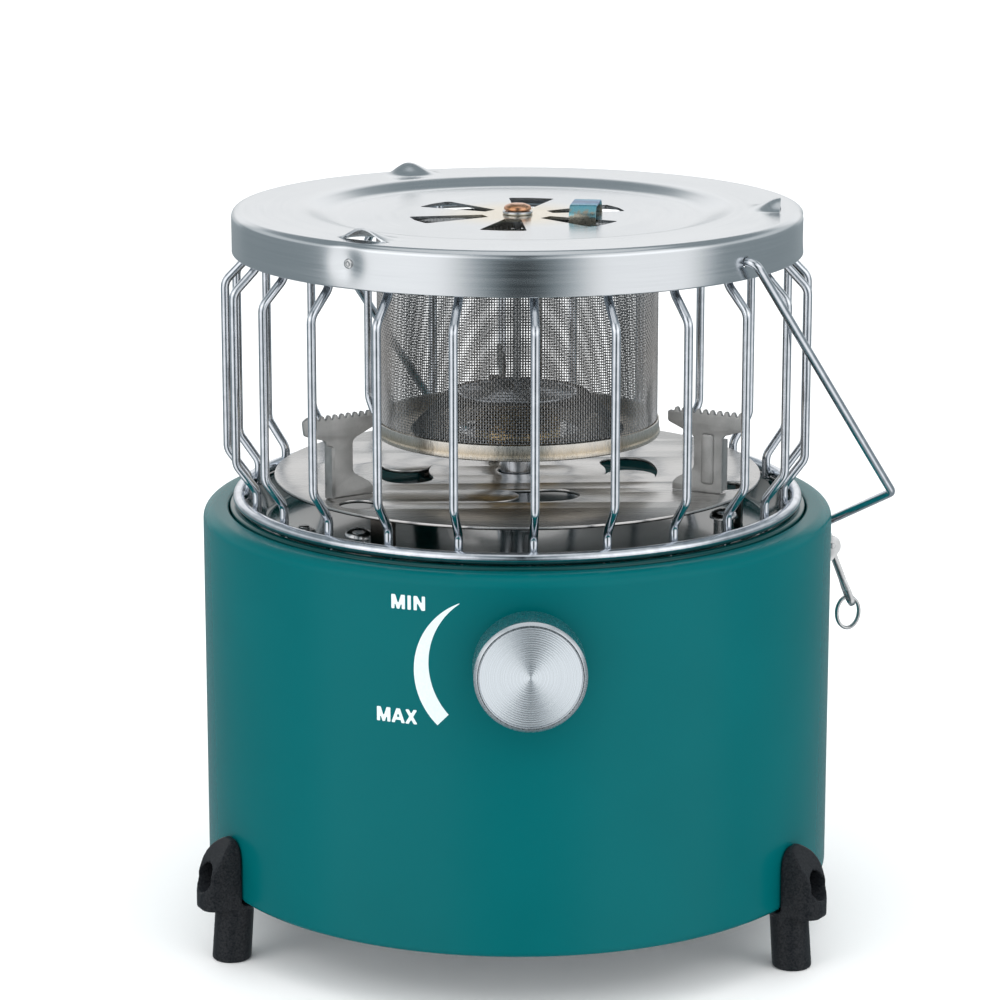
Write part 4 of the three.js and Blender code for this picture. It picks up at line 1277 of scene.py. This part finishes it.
def cap():
    """The pressed cap: a recessed middle with six slots, three louvres and a hemmed skirt."""
    azimuths = [azimuth_of(screw) for screw in SKIRT_SCREWS]
    body = lathe(cap_profile(), 480)
    body = body.mapped(lambda p: with_louvres(p, azimuths))
    body = body.mapped(lambda p: with_dimples(p, azimuths))
    petal = plate(rounded([(12, -2.8, 0.6), (37, -8.1, 1.2), (38, 0, 12), (37, 8.1, 1.2),
                           (12, 2.8, 0.6)], 5), CAP_TOP - 10, CAP_TOP + 10)
    petals = [petal.to_azimuth(CLIP_AZIMUTH + 30 + 60 * i) for i in range(6)]
    openings = [louvre_opening().to_azimuth(azimuth) for azimuth in azimuths]
    bail_azimuth = azimuth_to(*JOINTS["bail_swing"]["axis"][:2])
    bail_hole = rod(1.9, 90, 110).rotated(90, "Y").shifted(0, 0, joint_point("bail_swing")[2])
    holes = [bail_hole.to_azimuth(bail_azimuth + turn) for turn in (0, 180)]
    sheet = cut(body, *petals, *openings, *holes)
    replacement("guard_cap", sheet, CAP_STEEL, "guard")


def cap_rivet():
    shank = turned([
        (0, CONE_TOP - 4), (3, CONE_TOP - 4, 0.4), (3, CONE_TOP - 1.2, 0.4), (1.2, CONE_TOP - 1.2),
        (1.2, RECESS_TOP - 2), (2.2, RECESS_TOP - 1.6), (2.2, RECESS_TOP + 1.4),
        (0, RECESS_TOP + 1.4),
    ], 4, 48)
    replacement("cap_rivet", shank, PLATED_STEEL, "guard")
    head = turned([
        (0, RECESS_TOP + 1.5), (4.6, RECESS_TOP + 1.5, 0.3), (4.8, RECESS_TOP + 2.0, 0.4),
        (4.4, RECESS_TOP + 2.9, 0.8), (2.6, RECESS_TOP + 3.6, 1.4), (0, RECESS_TOP + 3.8),
    ], 4, 48)
    piece("rivet_head", head, COPPER, "guard")
    washer = turned([
        (2.6, RECESS_TOP + 0.05), (5.2, RECESS_TOP + 0.05, 0.3), (5.2, RECESS_TOP + 1.2, 0.4),
        (2.6, RECESS_TOP + 1.2),
    ], 3, 48)
    replacement("rivet_washer", washer, PLATED_STEEL, "guard")


def heat_clip():
    """A strip bent over the cap between two slots."""
    over, shoulder, flat = RECESS_TOP + 4.25, RECESS_TOP + 1.6, 7.4
    half_span, half_width, half_thickness, edge = 9.85, 4.65, 0.33, 0.25
    path = bent([
        (-half_span, 0, RECESS_TOP - 4), (-half_span, 0, shoulder), (-flat, 0, over),
        (flat, 0, over), (half_span, 0, shoulder), (half_span, 0, RECESS_TOP - 4),
    ], 2.2, 6)
    section = rounded([(-half_width, -half_thickness, edge), (half_width, -half_thickness, edge),
                       (half_width, half_thickness, edge), (-half_width, half_thickness, edge)], 2)
    strip = swept_strip(path, section).rotated(90, "Z").shifted(23.6, 0, 0)
    replacement("heat_clip", strip.to_azimuth(CLIP_AZIMUTH), BLUED_STEEL, "guard")


def skirt_screws():
    seat = CAP_RADIUS - DIMPLE_DEPTH
    screw = turned([
        (0, seat - 3.6), (1.4, seat - 3.6, 0.3), (1.4, seat), (1.75, seat, 0.2),
        (1.65, seat + 0.5, 0.3), (0.95, seat + 0.85, 0.3), (0.6, seat + 0.4, 0.1), (0, seat + 0.3),
    ], 3, 32)
    screw = screw.rotated(90, "Y").shifted(0, 0, SCREW_HEIGHT)
    for node in SKIRT_SCREWS:
        replacement(node, screw.to_azimuth(azimuth_of(node)), PLATED_STEEL, "guard")


# ---------------------------------------------------------------- guard: emitter
WEAVE_PITCH = 0.95
WEAVE_WIRE = 0.165
WEAVE_LIFT = 0.13
UP = np.array([0, 0, 1.0])


def woven_wire(lines):
    """Diamond-section wires along lines of points, which rise and dip along a normal.

    Each line is a list of (point, side, normal) rows, and whether it rises or dips first.
    """
    points, faces = [], []
    for line, phase in lines:
        start = len(points)
        for i, (place, side, normal) in enumerate(line):
            centre = place + normal * (WEAVE_LIFT if (i + phase) % 2 else -WEAVE_LIFT)
            points += [centre + side * WEAVE_WIRE, centre + normal * WEAVE_WIRE,
                       centre - side * WEAVE_WIRE, centre - normal * WEAVE_WIRE]
        faces += skin(len(line), 4, start=start, turned=True)
    return Shape(points, faces)


def woven_side():
    """The emitter's cylinder of wire cloth: upright wires and hoops that pass over and under."""
    radius = EMITTER_RADIUS - 0.4
    around = 2 * round(math.pi * radius / WEAVE_PITCH)
    levels = np.arange(EMITTER_BOTTOM, EMITTER_TOP, WEAVE_PITCH)
    azimuths = [360 * i / around for i in range(around + 1)]
    normals = [polar(1, azimuth, 0) for azimuth in azimuths]
    sides = [polar(1, azimuth + 90, 0) for azimuth in azimuths]
    uprights = [
        ([(normals[i] * radius + UP * level, sides[i], normals[i]) for level in levels], i)
        for i in range(around)
    ]
    hoops = [
        ([(normals[i] * radius + UP * level, UP, normals[i]) for i in range(around + 1)], k + 1)
        for k, level in enumerate(levels)
    ]
    return woven_wire(uprights), woven_wire(hoops)


def woven_sheet(inner, outer, height_at, pitch):
    """Wire cloth between two radii, laid over a surface that is height_at(radius) high."""
    count = int(outer / pitch)
    lines = []
    for direction in (0, 1):
        side = np.array([1.0, 0, 0]) if direction else np.array([0, 1.0, 0])
        for k in range(-count, count + 1):
            runs = [[]]
            for i in range(-count - 1, count + 2):
                x, y = (k * pitch, i * pitch) if direction else (i * pitch, k * pitch)
                size = math.hypot(x, y)
                if inner <= size <= outer:
                    runs[-1].append((i, np.array([x, y, height_at(size)])))
                elif runs[-1]:
                    runs.append([])
            lines += [
                ([(place, side, UP) for _, place in run], k + direction + run[0][0])
                for run in runs if len(run) > 1
            ]
    return woven_wire(lines)


def emitter():
    """The cylinder of wire cloth with its lid and seam, on a dish with a cone of cloth in it."""
    uprights, hoops = woven_side()
    lid = woven_sheet(2.2, EMITTER_RADIUS - 0.6, lambda r: EMITTER_TOP - 0.5, 1.15)
    replacement("emitter_mesh", uprights, MESH_STEEL, "guard")
    piece("emitter_hoops", hoops, MESH_STEEL, "guard")
    piece("emitter_lid", lid, MESH_STEEL, "guard")
    seam = block((EMITTER_RADIUS - 0.55, -2.2, EMITTER_BOTTOM),
                 (EMITTER_RADIUS - 0.1, 2.2, EMITTER_TOP - 1), 0.1)
    piece("emitter_seam", seam.to_azimuth(170), DISH_STEEL, "guard")
    base = DISH_BOTTOM + 1.4
    rim = EMITTER_RADIUS
    dish = turned([
        (21.5, base - 0.8, 0.3), (rim - 1.8, base - 0.8, 0.5), (rim - 0.9, DISH_BOTTOM, 0.6),
        (rim + 0.8, DISH_BOTTOM, 0.7), (rim + 0.8, DISH_BOTTOM + 1.3, 0.6),
        (rim + 0.5, base + 0.6, 0.4), (rim + 0.5, DISH_TOP, 0.3), (rim - 0.15, DISH_TOP, 0.3),
        (rim - 0.15, base, 0.6), (21.5, base, 0.3),
    ], 5, 192)
    replacement("emitter_dish", dish, DISH_STEEL, "guard")
    flat_radius, foot_radius = 24.6, 37.5
    slope = (CONE_TOP - base) / (foot_radius - flat_radius)

    def cone_height(radius):
        return CONE_TOP - 0.4 - max(0.0, radius - flat_radius) * slope
    crown = woven_sheet(2.0, 20, cone_height, 0.9)
    hem = hoop(20.5, CONE_TOP - 0.3, 0.5, 96, 8)
    replacement("emitter_cone", crown + hem, BRIGHT_WIRE, "guard")
    cone = woven_sheet(21, foot_radius, cone_height, 1.0)
    piece("cone_side", cone, DARK_MESH, "guard")


# ---------------------------------------------------------------- guard: wires
WIRE = 1.5
TOP_LEG_RADIUS = 92.6
LOW_LEG_RADIUS = RING_RADIUS - 2 - WIRE - 0.05


def guard_wires():
    wire_top = top(GUARD_WIRES[0])
    out = 101.1
    low_bend, low_knee, high_knee, high_bend = 160.6, 170.4, 229.6, 238.4
    for node in GUARD_WIRES:
        azimuth = azimuth_of(node)
        corners = [
            (LOW_LEG_RADIUS, RING_HEIGHT - 1.5), (LOW_LEG_RADIUS, low_bend), (out, low_knee),
            (out, high_knee), (TOP_LEG_RADIUS, high_bend), (TOP_LEG_RADIUS, wire_top - 0.3),
        ]
        path = bent([polar(radius, azimuth, height) for radius, height in corners], 5.5, 8)
        replacement(node, tube(path, WIRE, 16), BRIGHT_WIRE, "guard", 50)


def guard_rings():
    replacement("guard_bottom_ring", hoop(RING_RADIUS, RING_HEIGHT, 2.0, 256, 20), BRIGHT_WIRE,
                "guard")
    top_hoop = hoop(mid_radius("guard_top_ring") + 0.1, mid_height("guard_top_ring"), WIRE, 256, 16)
    replacement("guard_top_ring", top_hoop, BRIGHT_WIRE, "guard")


def weld_beads():
    """Two small lumps of weld where each wire meets the bottom ring."""
    profile = [(0, -1), (0.55, -0.85), (0.92, -0.4), (1, 0), (0.92, 0.4), (0.55, 0.85), (0, 1)]
    lump = lathe(profile, 14).mapped(lambda p: p * np.array([0.9, 1.5, 0.7]))
    beads = [
        lump.shifted(RING_RADIUS - 2.05, side * 1.1, RING_HEIGHT + 0.2).to_azimuth(azimuth_of(node))
        for node in GUARD_WIRES for side in (-1, 1)
    ]
    piece("weld_beads", together(beads), BRIGHT_WIRE, "guard", crease=80)


def bail():
    """The carrying wire, in its plane through the hinge line, with its ends turned inwards."""
    hinge = joint_point("bail_swing")
    axis = np.array(JOINTS["bail_swing"]["axis"])
    points = node_points("bail") - hinge
    along = points @ axis
    down = points[np.abs(along) < 3].mean(axis=0)
    down /= np.linalg.norm(down)
    apex = float((points @ down).max()) - WIRE
    arm = float((points @ down)[along.argmax()])
    spread = float(along.max()) - WIRE
    half = [(94.8, 0), (102.6, 0), (spread, arm)]
    corners = [*half, (0, apex), *[(-p, q) for p, q in reversed(half)]]
    path = bent([hinge + axis * p + down * q for p, q in corners], 3.2, 8)
    replacement("bail", tube(path, WIRE, 18), BRIGHT_WIRE, "bail", 50)


# ---------------------------------------------------------------- studio
CAMERA_LENS = 130.1
CAMERA_PLACE = (-0.0521, -1.2361, 0.4404)
CAMERA_PITCH = 76.815
CAMERA_HEADING = -1.67


def camera():
    data = bpy.data.cameras.new("camera")
    data.lens = CAMERA_LENS
    data.sensor_width = 36
    obj = bpy.data.objects.new("camera", data)
    obj.location = CAMERA_PLACE
    obj.rotation_euler = [math.radians(a) for a in (CAMERA_PITCH, 0, CAMERA_HEADING)]
    bpy.context.scene.collection.objects.link(obj)
    bpy.context.scene.camera = obj


def fill_light(name, place, size):
    """A large soft light that shades the heater but isn't mirrored in its metal."""
    data = bpy.data.lights.new(name, "AREA")
    data.shape = "RECTANGLE"
    data.size, data.size_y = size
    data.energy = FILL
    obj = bpy.data.objects.new(name, data)
    obj.location = place
    direction = Vector((0, 0, 0.12)) - Vector(place)
    obj.rotation_euler = direction.to_track_quat("-Z", "Y").to_euler()
    obj.visible_glossy = False
    obj.visible_camera = False
    bpy.context.scene.collection.objects.link(obj)


def overhead_light():
    """An even light from all over the ceiling, which the metal doesn't mirror either."""
    data = bpy.data.lights.new("overhead_light", "SUN")
    data.energy = OVERHEAD
    data.angle = math.radians(110)
    obj = bpy.data.objects.new("overhead_light", data)
    obj.location = (0, 0, 2)
    obj.visible_glossy = False
    bpy.context.scene.collection.objects.link(obj)


def floor():
    half = 8.0
    mesh = bpy.data.meshes.new("floor")
    mesh.from_pydata([(-half, -half, 0), (half, -half, 0), (half, half, 0), (-half, half, 0)], [],
                     [(0, 1, 2, 3)])
    finish = Finish("floor_paper", 0.0, Roughness=0.9)
    finish.colour(finish.ramp(finish.noise(finish.place(), 0.002, 2),
                              [(0.4, (0.93, 0.93, 0.93)), (0.6, (0.95, 0.95, 0.95))]))
    mesh.materials.append(finish.material)
    obj = bpy.data.objects.new("floor", mesh)
    bpy.context.scene.collection.objects.link(obj)
    obj.visible_glossy = False


# The soft-edged patches of the room that the metal mirrors, in degrees: azimuth, half width,
# low and high edge, the softness of the edges, and then the brightness. One brighter than
# SURROUND is a white card, one darker is a dark one, and a half width of 200 goes all round.
CARDS = [
    (-50, 27, -60, 50, 11, 1.15),
    (50, 27, -60, 50, 11, 1.1),
    (0, 10, -75, -3, 7, 0.03),
    (0, 5, 5, 44, 5, -0.33),
    (0, 200, 6, 27, 5, 0.7),
    (180, 34, -6, 27, 5, 0.7),
]
SURROUND = 0.33
CEILING = 0.8
SHADE_TONE = (0.74, 0.92, 1.0)  # the dim parts of the room are a little blue
OVERHEAD = 2.2
FILL = 3


def surroundings():
    """A dim room with cards round the heater, and plain white where the camera looks."""
    world = bpy.data.worlds.new("studio")
    nodes = Nodes(world)
    direction = nodes.node("ShaderNodeTexCoord").outputs["Generated"]
    x, y, z = nodes.split(direction)
    level = nodes.math("MAXIMUM", nodes.radius(x, y), 0.001)
    height = nodes.math("DEGREES", nodes.math("ARCTAN2", z, level))
    light = nodes.spread(height, SURROUND, CEILING, 54, 62, True)
    for azimuth, half_width, low, high, edge, brightness in CARDS:
        east, south, _ = polar(1, azimuth, 0)
        facing = nodes.weighted(x, float(east), y, float(south))
        off = nodes.math("DEGREES", nodes.math("ARCCOSINE", nodes.math("DIVIDE", facing, level)))
        across = nodes.spread(off, 1, 0, half_width - edge, half_width + edge, True)
        above = nodes.spread(height, 0, 1, low - edge, low + edge, True)
        below = nodes.spread(height, 1, 0, high - edge, high + edge, True)
        card = nodes.math("MULTIPLY", across, nodes.math("MULTIPLY", above, below))
        light = nodes.math("ADD", light, nodes.math("MULTIPLY", card, brightness - SURROUND))
    seen = nodes.node("ShaderNodeLightPath").outputs["Is Camera Ray"]
    background = nodes.node("ShaderNodeBackground")
    strength = nodes.math("MAXIMUM", light, seen)
    nodes.link(strength, background.inputs["Strength"])
    tone = nodes.ramp(strength, [(0.1, SHADE_TONE), (0.9, WHITE)])
    nodes.link(tone, background.inputs["Color"])
    output = nodes.node("ShaderNodeOutputWorld")
    nodes.link(background.outputs[0], output.inputs[0])
    bpy.context.scene.world = world


def studio():
    floor()
    surroundings()
    overhead_light()
    fill_light("left_light", (-1.2, -0.8, 0.8), (0.9, 1.2))
    fill_light("right_light", (1.2, -0.8, 0.8), (0.9, 1.2))
    fill_light("front_light", (0, -1.7, 1.0), (1.2, 0.8))
    bpy.context.scene.view_settings.view_transform = "Standard"


# ---------------------------------------------------------------- the heater
camera()
studio()
drum()
pan()
pan_screws()
base_plate()
feet()
heat_disc()
pot_supports()
burner()
gas_line()
knob()
dial()
side_catch()
cap()
cap_rivet()
heat_clip()
skirt_screws()
emitter()
guard_wires()
guard_rings()
weld_beads()
bail()
